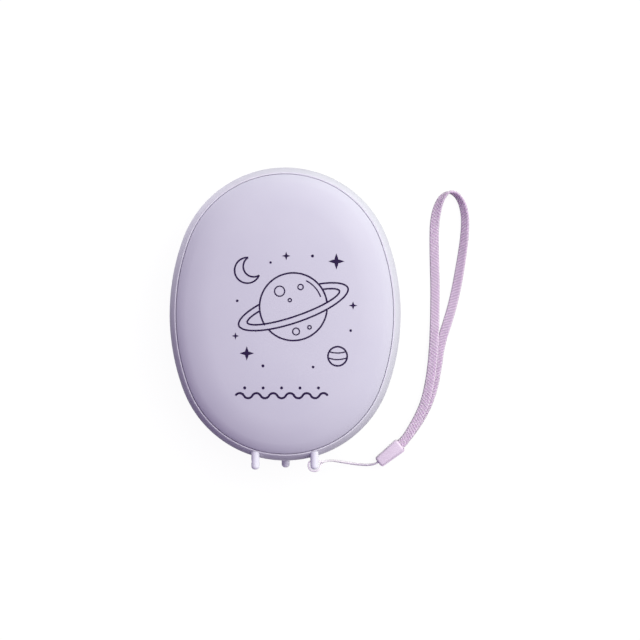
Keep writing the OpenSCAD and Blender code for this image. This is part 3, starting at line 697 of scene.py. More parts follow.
# The oval body: four tangent arcs seen from the front, and domes whose section is tangent arcs
body = {
    "endR": 37.2, "endY": 12.86, "sideR": 74.6955, "sideX": 35.2212, "joinAngle": 20.0582,
    "midZ": 13.6154, "bandH": 1.70584, "endStep": 2, "sideStep": 1.2,
    "turns": (0, 52, 68, 82, 90), "radii": (9.5, 11, 34), "frontReach": 36, "backReach": 25,
    "arcStep": 2,
}
halfWidth = body["sideR"] - body["sideX"]


def domeRadii(reach):
    cosines = [math.cos(math.radians(a)) for a in body["turns"]]
    runIn = sum(r * (cosines[i] - cosines[i + 1]) for i, r in enumerate(body["radii"]))
    return (*body["radii"], (reach - runIn) / cosines[3])


def domeCentres(reach):
    radii = domeRadii(reach)
    centres = [Vector((-radii[0], body["bandH"]))]
    for i in range(1, 4):
        a = math.radians(body["turns"][i])
        centres.append(centres[-1] + (radii[i - 1] - radii[i]) * Vector((math.cos(a), math.sin(a))))
    return centres


def drawSection(name, start, moves, side=1):
    # an edge chain in the XZ plane at the body's right side, x measured from the edge, side -1 for
    # the back; a line goes to a point, an arc turns the tip about a centre by degrees
    def spot(p):
        return Vector(((halfWidth + p[0]) * mm, 0, (body["midZ"] + side * p[1]) * mm))

    tip = Vector(start)
    piece = startChain(name, spot(tip))
    for move in moves:
        if move[0] == "line":
            bpy.ops.mesh.extrude_vertices_move(TRANSFORM_OT_translate={"value": spot(move[1]) - spot(tip)})
            tip = Vector(move[1])
        else:
            middle, degrees = Vector(move[1]), move[2]
            steps = max(2, round(abs(degrees) / body["arcStep"])) if len(move) < 4 else move[3]
            spin(steps, degrees * side, spot(middle), (0, -1, 0))
            tip = middle + Matrix.Rotation(math.radians(degrees), 2) @ (tip - middle)
    return piece


def sweepOval(piece, closed):
    # spins the section round the oval's four arcs, from the middle of the right side and back to it
    join = body["joinAngle"]
    end, sideX = body["endY"] * mm, body["sideX"] * mm
    bpy.ops.mesh.select_all(action="SELECT")
    if closed:
        bpy.ops.mesh.remove_doubles(threshold=weldGap / 10)
        bpy.ops.mesh.select_all(action="SELECT")
    for x, y, turn in ((-sideX, 0, join), (0, end, 180 - 2 * join), (sideX, 0, 2 * join),
                       (0, -end, 180 - 2 * join), (-sideX, 0, join)):
        step = body["endStep"] if y else body["sideStep"]
        spin(round(turn / step), turn, (x, y, 0), (0, 0, 1))
    bpy.ops.mesh.select_all(action="SELECT")
    bpy.ops.mesh.remove_doubles(threshold=2 * weldGap)
    if not closed:
        bpy.ops.mesh.select_all(action="SELECT")
        bpy.ops.mesh.fill_holes(sides=0)
    bpy.ops.mesh.select_all(action="SELECT")
    bpy.ops.mesh.normals_make_consistent(inside=False)
    leaveEdit()
    smooth(piece, 32)


coverShape = {"edge": 2.8, "ease": 0.35, "easeSteps": 5, "wall": 1.6, "foot": 4.6}


def makeCover(name, reach, side):
    c, t = coverShape, coverShape["wall"]
    radii, centres, turns = domeRadii(reach), domeCentres(reach), body["turns"]
    flatZ = centres[3][1] + radii[3]
    easeAngle = math.degrees(math.acos((radii[0] - c["edge"] - c["ease"]) / (radii[0] - c["ease"])))
    easeZ = body["bandH"] + math.sqrt((radii[0] - c["ease"]) ** 2 - (radii[0] - c["edge"] - c["ease"]) ** 2)
    easeMid = (-c["edge"] - c["ease"], easeZ)
    # where the lining's shoulder arc meets the inner face of the wall
    liningAngle = math.degrees(math.acos((-c["edge"] - t - centres[1][0]) / (radii[1] - t)))
    piece = drawSection(name, (-reach, flatZ - t), [
        ("arc", centres[3], turns[3] - turns[4]),
        ("arc", centres[2], turns[2] - turns[3]),
        ("arc", centres[1], liningAngle - turns[2]),
        ("line", (-c["edge"] - t, c["foot"])),
        ("line", (-c["edge"], c["foot"])),
        ("line", (-c["edge"], easeZ)),
        ("arc", easeMid, easeAngle, c["easeSteps"]),
        ("arc", centres[0], turns[1] - easeAngle),
        ("arc", centres[1], turns[2] - turns[1]),
        ("arc", centres[2], turns[3] - turns[2]),
        ("arc", centres[3], turns[4] - turns[3]),
    ], side)
    sweepOval(piece, False)
    return piece


frontCover = makeCover("frontCoverShell", body["frontReach"], 1)
rearCover = makeCover("rearCoverShell", body["backReach"], -1)
print("covers made", len(frontCover.data.polygons))

rimShape = {
    "lip": 2.64, "lipRound": 0.36, "lipSteps": 10, "lipSlack": 0.02, "shelfIn": 6.4, "shelfZ": 4.6,
    "shelfT": 1.6, "wall": 2.2,
}


def makeRim(s):
    r, e = body["radii"][0], s["lipRound"]
    lipX = -s["lip"] + e
    lipZ = body["bandH"] + math.sqrt((r - e) ** 2 - (r + lipX) ** 2)
    lipAngle = math.degrees(math.acos((r + lipX) / (r - e)))
    low = s["shelfZ"] - s["shelfT"]
    piece = drawSection("caseRim", (-s["shelfIn"], s["shelfZ"]), [
        ("line", (-s["lip"], s["shelfZ"])),
        ("line", (-s["lip"], lipZ)),
        ("arc", (lipX, lipZ), lipAngle - 180, s["lipSteps"]),
        ("arc", (-r, body["bandH"]), -lipAngle),
        ("line", (0, -body["bandH"])),
        ("arc", (-r, -body["bandH"]), -lipAngle),
        ("arc", (lipX, -lipZ), lipAngle - 180, s["lipSteps"]),
        ("line", (-s["lip"], -s["shelfZ"])),
        ("line", (-s["shelfIn"], -s["shelfZ"])),
        ("line", (-s["shelfIn"], -low)),
        ("line", (-s["wall"], -low)),
        ("line", (-s["wall"], low)),
        ("line", (-s["shelfIn"], low)),
        ("line", (-s["shelfIn"], s["shelfZ"])),
    ])
    sweepOval(piece, True)
    return piece


rim = makeRim(rimShape)
print("rim made", len(rim.data.polygons))

openings = {
    "port": (9.54, 3.86), "button": (7.4, 3.6), "buttonTurn": 20.5, "lightR": 0.7, "lights": 4,
    "lightPitch": 2.2, "inner": 34, "outer": 38.2, "clear": 1,
}
feet = {
    "x": (-10, 10, 0), "lift": 6.6, "stemLift": 2.4, "postR": 1.48, "stemR": 0.98, "bladeW": 1.76,
    "back": 2.28, "tip": 52.76, "bladeEnd": 49.11, "padHalf": 2.6, "padLow": 0.6, "padHigh": 3.8,
    "padStart": 1.8, "padReach": 6.4, "headHalf": 1.5, "clear": 1, "overlap": 0.1,
}


def footPlaces(f):
    # x, height sign, and where the body's edge and the pad's inner face lie at that x
    for x in f["x"]:
        up = 1 if x else -1
        edgeY = body["endY"] + math.sqrt(body["endR"] ** 2 - x * x)
        far = abs(x) + f["headHalf"]
        seatY = body["endY"] + math.sqrt((body["endR"] - f["padReach"]) ** 2 - far ** 2)
        yield x, up, edgeY, seatY


def stemCutters(f):
    made = []
    for x, up, edgeY, seatY in footPlaces(f):
        z = body["midZ"] + up * f["stemLift"]
        made.append(rodAlong("stemHole", f["stemR"], x, -edgeY - f["clear"], -seatY + f["clear"], z))
    return made


def cutRim(rim, o, f):
    z = body["midZ"]
    first = [pillBar("portHole", *o["port"], o["inner"] + o["clear"],
                     body["endY"] + o["outer"] + o["clear"], z)]
    hole = pillBar("buttonHole", *o["button"], o["inner"], o["outer"], z)
    first.append(turnTo(hole, 0, body["endY"], o["buttonTurn"]))
    for i in range(o["lights"]):
        x = (i - (o["lights"] - 1) / 2) * o["lightPitch"]
        first.append(turnTo(rodAlong("lightHole", o["lightR"], x, o["inner"], o["outer"], z),
                            0, body["endY"], -o["buttonTurn"]))
    blades = []
    for x, up, edgeY, _ in footPlaces(f):
        post = z + up * f["lift"]
        first.append(rodAlong("postHole", f["postR"], x, -f["tip"], f["back"] - edgeY, post))
        low, high = z + up * f["stemLift"], post
        inner = edgeY - f["back"] + f["overlap"]
        blades.append(brick("bladeSlot", (f["bladeW"], f["bladeEnd"] - inner, abs(high - low)),
                            (x, -(inner + f["bladeEnd"]) / 2, (low + high) / 2)))
    cut(rim, joinUp(first, "openings"))
    cut(rim, joinUp(blades, "bladeSlots"))
    cut(rim, joinUp(stemCutters(f), "stemHoles"))
    smooth(rim, 32)


cutRim(rim, openings, feet)


def makePads(f):
    pads = []
    for x, up, edgeY, seatY in footPlaces(f):
        outer = edgeY - f["padStart"]
        z = body["midZ"] + up * (f["padLow"] + f["padHigh"]) / 2
        pads.append(brick("footPad", (2 * f["padHalf"], outer - seatY, f["padHigh"] - f["padLow"]),
                          (x, -(outer + seatY) / 2, z)))
    pads = joinUp(pads, "footPads")
    cut(pads, joinUp(stemCutters(f), "stemHoles"))
    return pads


bosses = {
    "radius": 2.2, "pilotR": 0.8, "pilotDeep": 5, "bottom": -8.2, "ribW": 2.4, "ribLow": -7.4,
    "riser": -3.8, "riserInset": 5.6, "riserEnd": 7, "inset": 9.2, "pilotFloor": 0.8, "overlap": 0.1,
    # the top's height, then each boss's turn in degrees and the end it stands at
    "tray": (-6, ((66, 1), (-66, 1), (114, -1), (-114, -1))), "board": (-2.63, ((40, 1), (-40, 1))),
}


def makeBoss(b, top):
    # one boss with its pilot hole and the rib that joins it to the wall, at the +Y end
    z = body["midZ"]
    deselect()
    bpy.ops.mesh.primitive_cylinder_add(vertices=48, radius=b["radius"] * mm,
                                        depth=(top - b["bottom"]) * mm,
                                        location=(0, 0, (z + (top + b["bottom"]) / 2) * mm))
    boss = bpy.context.object
    applyPlace(boss)
    selectFaces(boss, lambda c, n: n.z > 0.9)
    bpy.ops.mesh.inset(thickness=(b["radius"] - b["pilotR"]) * mm, use_even_offset=False)
    depth = min(b["pilotDeep"], top - b["bottom"] - b["pilotFloor"])
    bpy.ops.mesh.extrude_region_move(TRANSFORM_OT_translate={"value": (0, 0, -depth * mm)})
    leaveEdit()
    boss.location.y = (body["endR"] - b["inset"]) * mm
    applyPlace(boss)
    webTop = min(top, b["riser"])
    out = body["endR"]
    inner = out - b["inset"] + b["radius"] - b["overlap"]
    rib = drawOutline("bossRib", [
        (0, out - b["riserInset"], z + b["ribLow"]), (0, out - b["riserInset"], z + b["riser"]),
        (0, out - b["riserEnd"], z + b["riser"]), (0, out - b["riserEnd"], z + webTop),
        (0, inner, z + webTop), (0, inner, z + b["ribLow"])], b["ribW"])
    return joinUp([boss, rib], "boss")


def makeBosses(b):
    made = []
    for top, turns in (b["tray"], b["board"]):
        first = makeBoss(b, top)
        for degrees, end in turns:
            made.append(turnTo(copyOf(first, "boss"), 0, end * body["endY"], degrees))
        bpy.data.objects.remove(first)
    return made


rim = joinUp([rim, makePads(feet)] + makeBosses(bosses), "caseRim")
print("rim openings, pads and bosses made")

snapTabs = {
    "turn": 9.5, "wide": 8, "thick": 1, "in": 6.5, "hook": 0.6, "hookZ": 2.9, "hookH": 0.7, "baseZ": 6,
    "seatZ": 4.7, "coverMid": 4,
}


def makeTabs(t, side):
    z, out = body["midZ"], body["sideR"]
    profile = [(t["coverMid"], t["seatZ"]), (t["coverMid"], t["baseZ"]), (t["in"] + t["thick"], t["baseZ"]),
               (t["in"] + t["thick"], t["hookZ"] - t["hookH"]), (t["in"], t["hookZ"] - t["hookH"]),
               (t["in"] - t["hook"], t["hookZ"] - t["hookH"] / 2), (t["in"] - t["hook"], t["hookZ"]),
               (t["in"], t["hookZ"]), (t["in"], t["seatZ"])]
    first = drawOutline("snapTab", [(0, out - i, z + side * h) for i, h in profile], t["wide"])
    made = []
    for left in (-1, 1):
        for up in (-1, 1):
            tab = copyOf(first, "snapTab")
            made.append(turnTo(tab, left * body["sideX"], 0, left * 90 + up * t["turn"]))
    bpy.data.objects.remove(first)
    return made


frontCover = joinUp([frontCover] + makeTabs(snapTabs, 1), "frontCoverShell")
rearCover = joinUp([rearCover] + makeTabs(snapTabs, -1), "rearCoverShell")
print("snap tabs made")
wear(frontCover, satinLilac)
wear(rearCover, satinLilac)


def edgeInset(c):
    # how far a point lies in from the oval's edge, in mm
    x, y = abs(c.x) / mm, abs(c.y) / mm
    joinY = body["endY"] + x * math.tan(math.radians(body["joinAngle"]))
    if y > joinY:
        return body["endR"] - math.hypot(x, y - body["endY"])
    return body["sideR"] - math.hypot(x + body["sideX"], y)


def paintLipHighlight(rim, s):
    # painted highlight: the rounded lip beside the seam gets a paler, pearly material that stands in for
    # the light its edge catches
    rim.data.materials.append(lipHighlightLilac)
    low, high = s["lip"] - s["lipRound"] - s["lipSlack"], s["lip"] + s["lipSlack"]
    for face in rim.data.polygons:
        height = abs(face.center.z / mm - body["midZ"])
        if height > s["shelfZ"] + 1 and low < edgeInset(face.center) < high:
            face.material_index = 1


wear(rim, rimLilac)
paintLipHighlight(rim, rimShape)
place(frontCover, "case", "cover", "front_cover")
place(rearCover, "case", "cover", "rear_cover")
place(rim, "case", "rim", "frame")

# Line drawing on the front: a ringed planet, a moon, stars and a wavy ornament
frontPrint = {
    "line": 0.56, "fineLine": 0.42, "thick": 0.04, "lift": 0.006, "above": 40, "arcStep": 12,
    "planet": {"x": 3, "y": 2.4, "r": 11.6, "glint": (9.7, 20, 64)},
    "halo": {"tilt": 19, "outer": (19.6, 5.6), "inner": (16.6, 3.5)},
    "craters": ((-4.6, 5.2, 1.9), (2.4, 6.6, 1.1), (0.9, -8.3, 1.35), (5.4, -6.9, 0.8), (-1.2, 2.2, 0.75)),
    "moon": {"x": -12.4, "y": 14.6, "r": 4.3, "bite": (2.1, 1.3, 3.5)},
    "smallPlanet": {"x": 17.8, "y": -14.2, "r": 3.5, "bands": (1.1, -1.1), "bandBow": 9, "bandInset": 0.3},
    "stars": ((17.4, 17.6, 2.7), (-12.6, -13.2, 2.4), (23, 2.8, 1.4), (-16.4, -7.4, 1.2), (0.6, 19.4, 1.4)),
    # how far the rim between two angles is drawn in, for each step from point to waist
    "starWaist": ((0.34, 40, 50), (0.5, 20, 70)),
    "dots": ((9.4, 19.4, 0.5), (-15.8, 4.4, 0.45), (-7.2, -17.4, 0.5), (22.2, -5.6, 0.45),
             (-4.6, 17.2, 0.4), (9.6, -17.8, 0.45)),
    "wave": {"x": -16.4, "y": -27.4, "r": 1.59, "half": 62, "count": 11, "line": 0.72},
    "waveDots": {"count": 5, "r": 0.5, "rise": 2.6},
}


def inkRing(x, y, rx, ry, tilt=0, line=frontPrint["line"], sides=160):
    # a circle or ellipse outline of even width
    deselect()
    bpy.ops.mesh.primitive_circle_add(vertices=sides, radius=rx * mm, fill_type="NGON")
    ring = bpy.context.object
    ring.name = "inkRing"
    ring.scale = (1, ry / rx, 1)
    applyPlace(ring)
    edit(ring, "FACE")
    bpy.ops.mesh.select_all(action="SELECT")
    bpy.ops.mesh.inset(thickness=line * mm, use_even_offset=True)
    bpy.ops.mesh.delete(type="FACE")
    leaveEdit()
    return turnTo(ring, x, y, tilt)


def inkArc(x, y, radius, start, end, line=frontPrint["line"]):
    # a stroke round a centre, angles in degrees
    ray = Vector((math.cos(math.radians(start)), math.sin(math.radians(start)), 0))
    centre = Vector((x, y, 0))
    stroke = startChain("inkArc", (centre + ray * (radius - line / 2)) * mm)
    bpy.ops.mesh.extrude_vertices_move(TRANSFORM_OT_translate={"value": ray * line * mm})
    bpy.ops.mesh.select_all(action="SELECT")
    steps = max(4, round(abs(end - start) * radius / frontPrint["arcStep"]))
    spin(steps, end - start, centre * mm, (0, 0, 1))
    leaveEdit()
    return stroke


def inkDot(x, y, radius, sides=28):
    deselect()
    bpy.ops.mesh.primitive_circle_add(vertices=sides, radius=radius * mm, fill_type="TRIFAN",
                                      location=(x * mm, y * mm, 0))
    dot = bpy.context.object
    dot.name = "inkDot"
    applyPlace(dot)
    return dot


def inkStar(x, y, radius):
    # four thin points with hollow sides
    deselect()
    bpy.ops.mesh.primitive_circle_add(vertices=16, radius=radius * mm, fill_type="TRIFAN")
    star = bpy.context.object
    star.name = "inkStar"
    for reach, low, high in frontPrint["starWaist"]:
        def onRim(v):
            turn = math.degrees(math.atan2(abs(v.y), abs(v.x)))
            return v.length > 0.9 * radius * mm and low <= turn <= high

        selectVerts(star, onRim)
        bpy.ops.transform.resize(value=(reach, reach, 1), center_override=(0, 0, 0))
        leaveEdit()
    return turnTo(star, x, y, 0)


def trimStroke(piece, hidden):
    # takes away the part of a stroke that passes behind something
    selectFaces(piece, lambda c, n: hidden(c / mm))
    bpy.ops.mesh.delete(type="FACE")
    leaveEdit()
    return piece


def moonStrokes(m):
    # the outer edge and the bite meet in two horns
    dx, dy, r2 = m["bite"]
    gap = math.hypot(dx, dy)
    toBite = math.degrees(math.atan2(dy, dx))
    outerHalf = math.degrees(math.acos((gap * gap + m["r"] ** 2 - r2 ** 2) / (2 * gap * m["r"])))
    innerHalf = math.degrees(math.acos((gap * gap + r2 ** 2 - m["r"] ** 2) / (2 * gap * r2)))
    return [inkArc(m["x"], m["y"], m["r"], toBite + outerHalf, toBite + 360 - outerHalf),
            inkArc(m["x"] + dx, m["y"] + dy, r2, toBite + 180 - innerHalf, toBite + 180 + innerHalf)]


def planetStrokes(f):
    planet, halo = f["planet"], f["halo"]
    px, py, r = planet["x"], planet["y"], planet["r"]
    lean = Matrix.Rotation(math.radians(-halo["tilt"]), 2)

    def level(c):
        return lean @ Vector((c.x - px, c.y - py))

    def inHalo(spot, size):
        return (spot.x / size[0]) ** 2 + (spot.y / size[1]) ** 2 < 1

    def behindPlanet(c):
        return level(c).y > 0 and level(c).length < r

    def behindHalo(c):
        spot = level(c)
        return spot.y < 0 and inHalo(spot, halo["outer"]) and not inHalo(spot, halo["inner"])

    strokes = [trimStroke(inkRing(px, py, r, r, sides=240), behindHalo)]
    for size in (halo["outer"], halo["inner"]):
        strokes.append(trimStroke(inkRing(px, py, *size, halo["tilt"], sides=240), behindPlanet))
    for x, y, size in f["craters"]:
        strokes.append(inkRing(px + x, py + y, size, size, line=f["fineLine"], sides=48))
    strokes.append(inkArc(px, py, *planet["glint"], f["fineLine"]))
    return strokes


def smallPlanetStrokes(f):
    # a ring with two bowed bands
    small = f["smallPlanet"]
    strokes = [inkRing(small["x"], small["y"], small["r"], small["r"], sides=80)]
    inner, bow = small["r"] - small["bandInset"], small["bandBow"]
    for rise in small["bands"]:
        reach = inner * math.sin(math.acos(rise / inner))
        swing = math.degrees(math.asin(reach / bow))
        strokes.append(inkArc(small["x"], small["y"] + rise + bow, bow, 270 - swing, 270 + swing,
                              f["fineLine"]))
    return strokes


def waveStrokes(w, dots):
    # arcs bent up and down in turn along one line
    strokes = []
    half = math.radians(w["half"])
    pitch = 2 * w["r"] * math.sin(half)
    drop = w["r"] * math.cos(half)
    for i in range(w["count"]):
        x = w["x"] + (i + 0.5) * pitch
        up = 1 if i % 2 == 0 else -1
        strokes.append(inkArc(x, w["y"] - up * drop, w["r"], up * 90 - w["half"], up * 90 + w["half"],
                              w["line"]))
    total = w["count"] * pitch
    for i in range(dots["count"]):
        strokes.append(inkDot(w["x"] + total * (i + 0.5) / dots["count"], w["y"] + dots["rise"], dots["r"]))
    print("ornament from", round(w["x"], 1), "to", round(w["x"] + total, 1))
    return strokes


def makePrint(f, cover):
    # all strokes drawn flat above the cover, dropped onto it and given the ink's thickness
    strokes = planetStrokes(f) + moonStrokes(f["moon"]) + smallPlanetStrokes(f)
    strokes += [inkStar(*star) for star in f["stars"]]
    strokes += [inkDot(*dot) for dot in f["dots"]]
    strokes += waveStrokes(f["wave"], f["waveDots"])
    ink = joinUp(strokes, "frontPrint")
    ink.location.z = f["above"] * mm
    applyPlace(ink)
    wrap = ink.modifiers.new("ontoCover", "SHRINKWRAP")
    wrap.target = cover
    wrap.wrap_method = "PROJECT"
    wrap.use_project_z = True
    wrap.use_negative_direction = True
    wrap.use_positive_direction = False
    applyAll(ink)
    outward(ink)
    if any(face.normal.z < 0 for face in ink.data.polygons):
        selectFaces(ink, lambda c, n: n.z < 0)
        bpy.ops.mesh.flip_normals()
        leaveEdit()
    ink.location.z = f["lift"] * mm
    applyPlace(ink)
    wall = ink.modifiers.new("inkWall", "SOLIDIFY")
    wall.thickness = f["thick"] * mm
    wall.offset = 1
    applyAll(ink)
    return ink


ink = makePrint(frontPrint, frontCover)
wear(ink, inkPurple)
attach(ink, "case")
print("front print made", len(ink.data.polygons))

# Finishes of the CAD nodes that keep their shape; film in mm, board and foam as pattern scales
heaterFilm = {"rowPitch": 1.6, "track": (0.55, 0.7), "halfWide": (19, 19.3), "mottle": 90}
boardFace = {
    "padScale": 420, "padSpread": 0.75, "padEdge": (0.13, 0.15), "trackScale": 240, "trackGap": 0.06,
}
foamCells = {"scale": 1500, "deep": (0.1, 0.6)}


def filmMaterial(s):
    # amber film with the heater's winding copper track showing through
    material, tree, shader = startMaterial("heaterFilm")
    where = tree.nodes.new("ShaderNodeTexCoord").outputs["Object"]
    split = tree.nodes.new("ShaderNodeSeparateXYZ")
    tree.links.new(where, split.inputs[0])
    rows = maths(tree, "PINGPONG", split.outputs["Y"], s["rowPitch"] * mm)
    track = spread(tree, rows, *(v * mm for v in s["track"]), 0, 1)
    outFromMiddle = maths(tree, "ABSOLUTE", split.outputs["X"])
    edge = spread(tree, outFromMiddle, *(v * mm for v in s["halfWide"]), 1, 0)
    mask = maths(tree, "MULTIPLY", track, edge)
    mottle = noise(tree, where, s["mottle"], 3)
    amber = blendColours(tree, mottle, shade(196, 118, 40), shade(182, 104, 32))
    tree.links.new(blendColours(tree, mask, amber, shade(146, 82, 34)), shader.inputs["Base Color"])
    tree.links.new(spread(tree, mottle, 0.3, 0.7, 0.2, 0.32), shader.inputs["Roughness"])
    addBump(tree, mask, shader, 0.4, 0.03)
    return material


def boardMaterial(s):
    # green lacquer over copper tracks, with bright pads
    material, tree, shader = startMaterial("boardGreen")
    where = tree.nodes.new("ShaderNodeTexCoord").outputs["Object"]
    cells = tree.nodes.new("ShaderNodeTexVoronoi")
    cells.distance = "CHEBYCHEV"
    cells.inputs["Scale"].default_value = s["padScale"]
    cells.inputs["Randomness"].default_value = s["padSpread"]
    tree.links.new(where, cells.inputs["Vector"])
    pads = spread(tree, cells.outputs["Distance"], *s["padEdge"], 1, 0)
    lines = tree.nodes.new("ShaderNodeTexBrick")
    lines.inputs["Scale"].default_value = s["trackScale"]
    lines.inputs["Mortar Size"].default_value = s["trackGap"]
    tree.links.new(where, lines.inputs["Vector"])
    green = blendColours(tree, lines.outputs["Fac"], shade(24, 84, 48), shade(42, 116, 66))
    tree.links.new(blendColours(tree, pads, green, shade(206, 204, 190)), shader.inputs["Base Color"])
    tree.links.new(spread(tree, pads, 0, 1, 0.35, 0.25), shader.inputs["Roughness"])
    tree.links.new(maths(tree, "MULTIPLY", pads, 0.8), shader.inputs["Metallic"])
    addBump(tree, lines.outputs["Fac"], shader, 0.3, 0.03)
    return material


def foamMaterial(s):
    # open-cell foam; the cell pits are darkened as painted shade
    material, tree, shader = startMaterial("greyFoam")
    where = tree.nodes.new("ShaderNodeTexCoord").outputs["Object"]
    cells = tree.nodes.new("ShaderNodeTexVoronoi")
    cells.inputs["Scale"].default_value = s["scale"]
    tree.links.new(where, cells.inputs["Vector"])
    deep = spread(tree, cells.outputs["Distance"], *s["deep"], 0, 1)
    # painted shade: darker colour where the cells are deepest
    tree.links.new(blendColours(tree, deep, shade(92, 92, 96), shade(178, 178, 182)),
                   shader.inputs["Base Color"])
    shader.inputs["Roughness"].default_value = 0.95
    addBump(tree, deep, shader, 0.8, 0.15)
    return material


def makeCadFinishes():
    satinWhite = moulded("trayWhite", shade(232, 232, 230), shade(224, 224, 222), (0.4, 0.5))
    cellWrap = moulded("cellPouch", shade(186, 192, 200), shade(168, 174, 184), (0.26, 0.42), grain=900,
                       bump=(0.3, 0.05), patchScale=140)
    blackPart = moulded("chipBlack", shade(38, 38, 41), shade(30, 30, 33), (0.45, 0.6), bump=(0.4, 0.02))
    ferrite = moulded("coilFerrite", shade(66, 66, 70), shade(52, 52, 56), (0.5, 0.7), grain=1800,
                      bump=(0.6, 0.04))
    connector = moulded("connectorIvory", shade(236, 230, 212), shade(226, 219, 200), (0.35, 0.45))
    clearPipe = moulded("lightPipeMilky", shade(238, 238, 242), shade(230, 230, 236), (0.18, 0.26),
                        bump=(0.08, 0.01), subsurface=0.4)
    ledResin = moulded("ledResin", shade(240, 236, 214), shade(232, 226, 196), (0.2, 0.3), bump=(0.1, 0.01))
    plusSleeve = moulded("plusSleeve", shade(188, 34, 34), shade(172, 28, 28), (0.3, 0.42))
    minusSleeve = moulded("minusSleeve", shade(40, 40, 43), shade(32, 32, 35), (0.3, 0.42))
    heaterSleeve = moulded("heaterSleeve", shade(236, 234, 228), shade(226, 224, 218), (0.35, 0.45))
    plateMetal = brushed("spreaderPlate", shade(214, 214, 218), shade(192, 192, 198), (0.3, 0.45))
    screwSteel = brushed("screwSteel", shade(176, 176, 182), shade(146, 146, 152), (0.25, 0.4))
    finishes = [
        (("foot_front_left", "foot_front_right", "foot_rear"), footPlastic),
        (("power_button",), buttonPlastic),
        (("usb_c_shell",), portSteel),
        (("usb_c_tongue", "control_ic", "thermistor_front", "thermistor_rear"), blackPart),
        (("inductor", "tact_switch"), ferrite),
        (("battery_socket", "heater_socket"), connector),
        (("switch_plunger", "battery_tray"), satinWhite),
        (("battery_cell",), cellWrap),
        (("main_board", "protection_board"), boardMaterial(boardFace)),
        (("front_heater_film", "rear_heater_film"), filmMaterial(heaterFilm)),
        (("front_heat_plate", "rear_heat_plate"), plateMetal),
        (("front_pad", "rear_pad"), foamMaterial(foamCells)),
        (("light_pipe",), clearPipe),
        ([f"indicator_led_{i}" for i in (1, 2, 3, 4)], ledResin),
        ([f"tray_screw_{i}" for i in (1, 2, 3, 4)] + ["board_screw_1", "board_screw_2"], screwSteel),
        (("battery_lead_plus",), plusSleeve),
        (("battery_lead_minus",), minusSleeve),
        (("heater_lead_front", "heater_lead_rear"), heaterSleeve),
    ]
    for names, material in finishes:
        for name in names:
            wear(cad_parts[name], material)
    return len(finishes)


print("finishes on kept pieces", makeCadFinishes())

# Contacts on the port's tongue
contacts = {
    "count": 12, "pitch": 0.5, "width": 0.26, "length": 2.9, "proud": 0.03, "sunk": 0.02, "slope": 0.1,
    "rise": 0.36, "start": 45.1,
}


def makeContacts(c):
    made = []
    start, end, slope = c["start"], c["start"] + c["length"], c["slope"]
    for face in (-1, 1):
        low = body["midZ"] + face * (c["rise"] - c["sunk"])
        high = body["midZ"] + face * (c["rise"] + c["proud"])
        first = drawOutline("contact", [
            (0, start, low), (0, end, low), (0, end - slope, high), (0, start + slope, high)], c["width"])
        for i in range(c["count"]):
            made.append(turnTo(copyOf(first, "contact"), (i - (c["count"] - 1) / 2) * c["pitch"], 0, 0))
        bpy.data.objects.remove(first)
    return joinUp(made, "portContacts")


portContacts = makeContacts(contacts)
wear(portContacts, brushed("contactGold", shade(226, 186, 98), shade(206, 164, 78), (0.22, 0.34)))
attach(portContacts, "case")
print("port contacts made")

# Floor, backdrop and light
studio = {
    "floorZ": -0.2, "floorSize": 6000, "paper": (0.05, 0.05, 0.06), "paperSeen": (0.11, 0.11, 0.11),
    "paperGlow": 0.93,
    "key": {"at": (460, 340, 620), "size": 260, "power": 1},
    "card": {"at": (-69, 66, 0), "size": (50, 74), "turn": 141, "power": 0.045},
    "toward": (0.75, 0.66, 0), "strength": 2.14,
    # from the dark side to the bright one: place from -1 to 1, then red, green and blue
    "sky": ((-1, 0, 0, 0.09), (-0.7, 0.052, 0.034, 0.093), (-0.5, 0.1, 0.072, 0.103),
            (-0.35, 0.143, 0.1, 0.143), (-0.2, 0.196, 0.139, 0.22), (-0.05, 0.286, 0.226, 0.334),
            (0.1, 0.43, 0.39, 0.478), (0.3, 0.62, 0.625, 0.633), (0.6, 0.81, 0.845, 0.775),
            (1, 0.9, 0.955, 0.855)),
}


def cameraWhite(tree, plain, white, target):
    # camera, mirror and glass rays see the white shader, light on the object comes from the plain one
    path = tree.nodes.new("ShaderNodeLightPath")
    seen = maths(tree, "MAXIMUM", path.outputs["Is Camera Ray"], path.outputs["Is Glossy Ray"])
    seen = maths(tree, "MAXIMUM", seen, path.outputs["Is Transmission Ray"])
    mix = tree.nodes.new("ShaderNodeMixShader")
    tree.links.new(seen, mix.inputs[0])
    tree.links.new(plain, mix.inputs[1])
    tree.links.new(white, mix.inputs[2])
    tree.links.new(mix.outputs[0], target)


def makeFloor(s):
    deselect()
    bpy.ops.mesh.primitive_plane_add(size=s["floorSize"] * mm, location=(0, 0, s["floorZ"] * mm))
    floor = bpy.context.object
    floor.name = "floor"
    material = bpy.data.materials.new("palePaper")
    material.use_nodes = True
    tree = material.node_tree
    tree.nodes.clear()
    result = tree.nodes.new("ShaderNodeOutputMaterial")
    paper = tree.nodes.new("ShaderNodeBsdfDiffuse")
    paper.inputs["Color"].default_value = (*s["paper"], 1)
    seen = tree.nodes.new("ShaderNodeBsdfDiffuse")
    seen.inputs["Color"].default_value = (*s["paperSeen"], 1)
    glow = tree.nodes.new("ShaderNodeEmission")
    glow.inputs["Strength"].default_value = s["paperGlow"]
    both = tree.nodes.new("ShaderNodeAddShader")
    tree.links.new(seen.outputs[0], both.inputs[0])
    tree.links.new(glow.outputs[0], both.inputs[1])
    cameraWhite(tree, paper.outputs[0], both.outputs[0], result.inputs["Surface"])
    wear(floor, material)


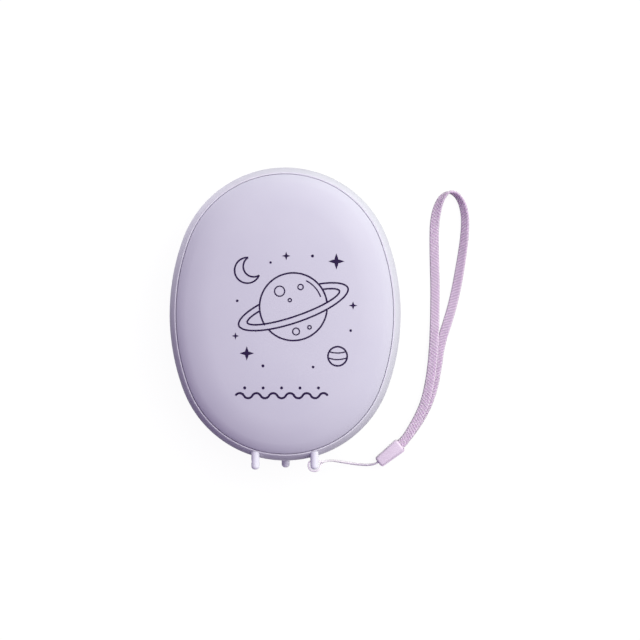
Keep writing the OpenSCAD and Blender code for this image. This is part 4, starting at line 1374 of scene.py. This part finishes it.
def makeWorld(s):
    world = bpy.data.worlds.new("studio")
    bpy.context.scene.world = world
    world.use_nodes = True
    tree = world.node_tree
    tree.nodes.clear()
    result = tree.nodes.new("ShaderNodeOutputWorld")
    direction = tree.nodes.new("ShaderNodeTexCoord").outputs["Generated"]
    dot = tree.nodes.new("ShaderNodeVectorMath")
    dot.operation = "DOT_PRODUCT"
    tree.links.new(direction, dot.inputs[0])
    dot.inputs[1].default_value = Vector(s["toward"]).normalized()
    # deep lilac away from the window side, white towards it
    sky = tree.nodes.new("ShaderNodeValToRGB")
    stops = sky.color_ramp.elements
    while len(stops) < len(s["sky"]):
        stops.new(0.5)
    for stop, (at, *colour) in zip(stops, s["sky"]):
        stop.position = (at + 1) / 2
        stop.color = (*colour, 1)
    tree.links.new(spread(tree, dot.outputs["Value"], -1, 1, 0, 1), sky.inputs["Fac"])
    soft = tree.nodes.new("ShaderNodeBackground")
    tree.links.new(sky.outputs["Color"], soft.inputs["Color"])
    soft.inputs["Strength"].default_value = s["strength"]
    white = tree.nodes.new("ShaderNodeBackground")
    white.inputs["Color"].default_value = (1, 1, 1, 1)
    white.inputs["Strength"].default_value = 1
    cameraWhite(tree, soft.outputs[0], white.outputs[0], result.inputs["Surface"])


def makeKeyLight(k):
    spot = Vector(k["at"]) * mm
    bpy.ops.object.light_add(type="AREA", location=spot)
    light = bpy.context.object
    light.name = "keyLight"
    light.data.size = k["size"] * mm
    light.data.energy = k["power"]
    light.rotation_euler = (-spot).to_track_quat("-Z", "Y").to_euler()


def makeCard(c):
    # a small glowing card on the floor that only lifts the rim beside it
    bpy.ops.object.light_add(type="AREA", location=Vector(c["at"]) * mm,
                             rotation=(math.pi, 0, math.radians(c["turn"])))
    light = bpy.context.object
    light.name = "cardLight"
    light.data.shape = "RECTANGLE"
    light.data.size = c["size"][0] * mm
    light.data.size_y = c["size"][1] * mm
    light.data.energy = c["power"]
    light.visible_camera = False
    light.visible_glossy = False


makeFloor(studio)
makeWorld(studio)
makeKeyLight(studio["key"])
makeCard(studio["card"])
bpy.context.scene.view_settings.view_transform = "Standard"
print("studio made")
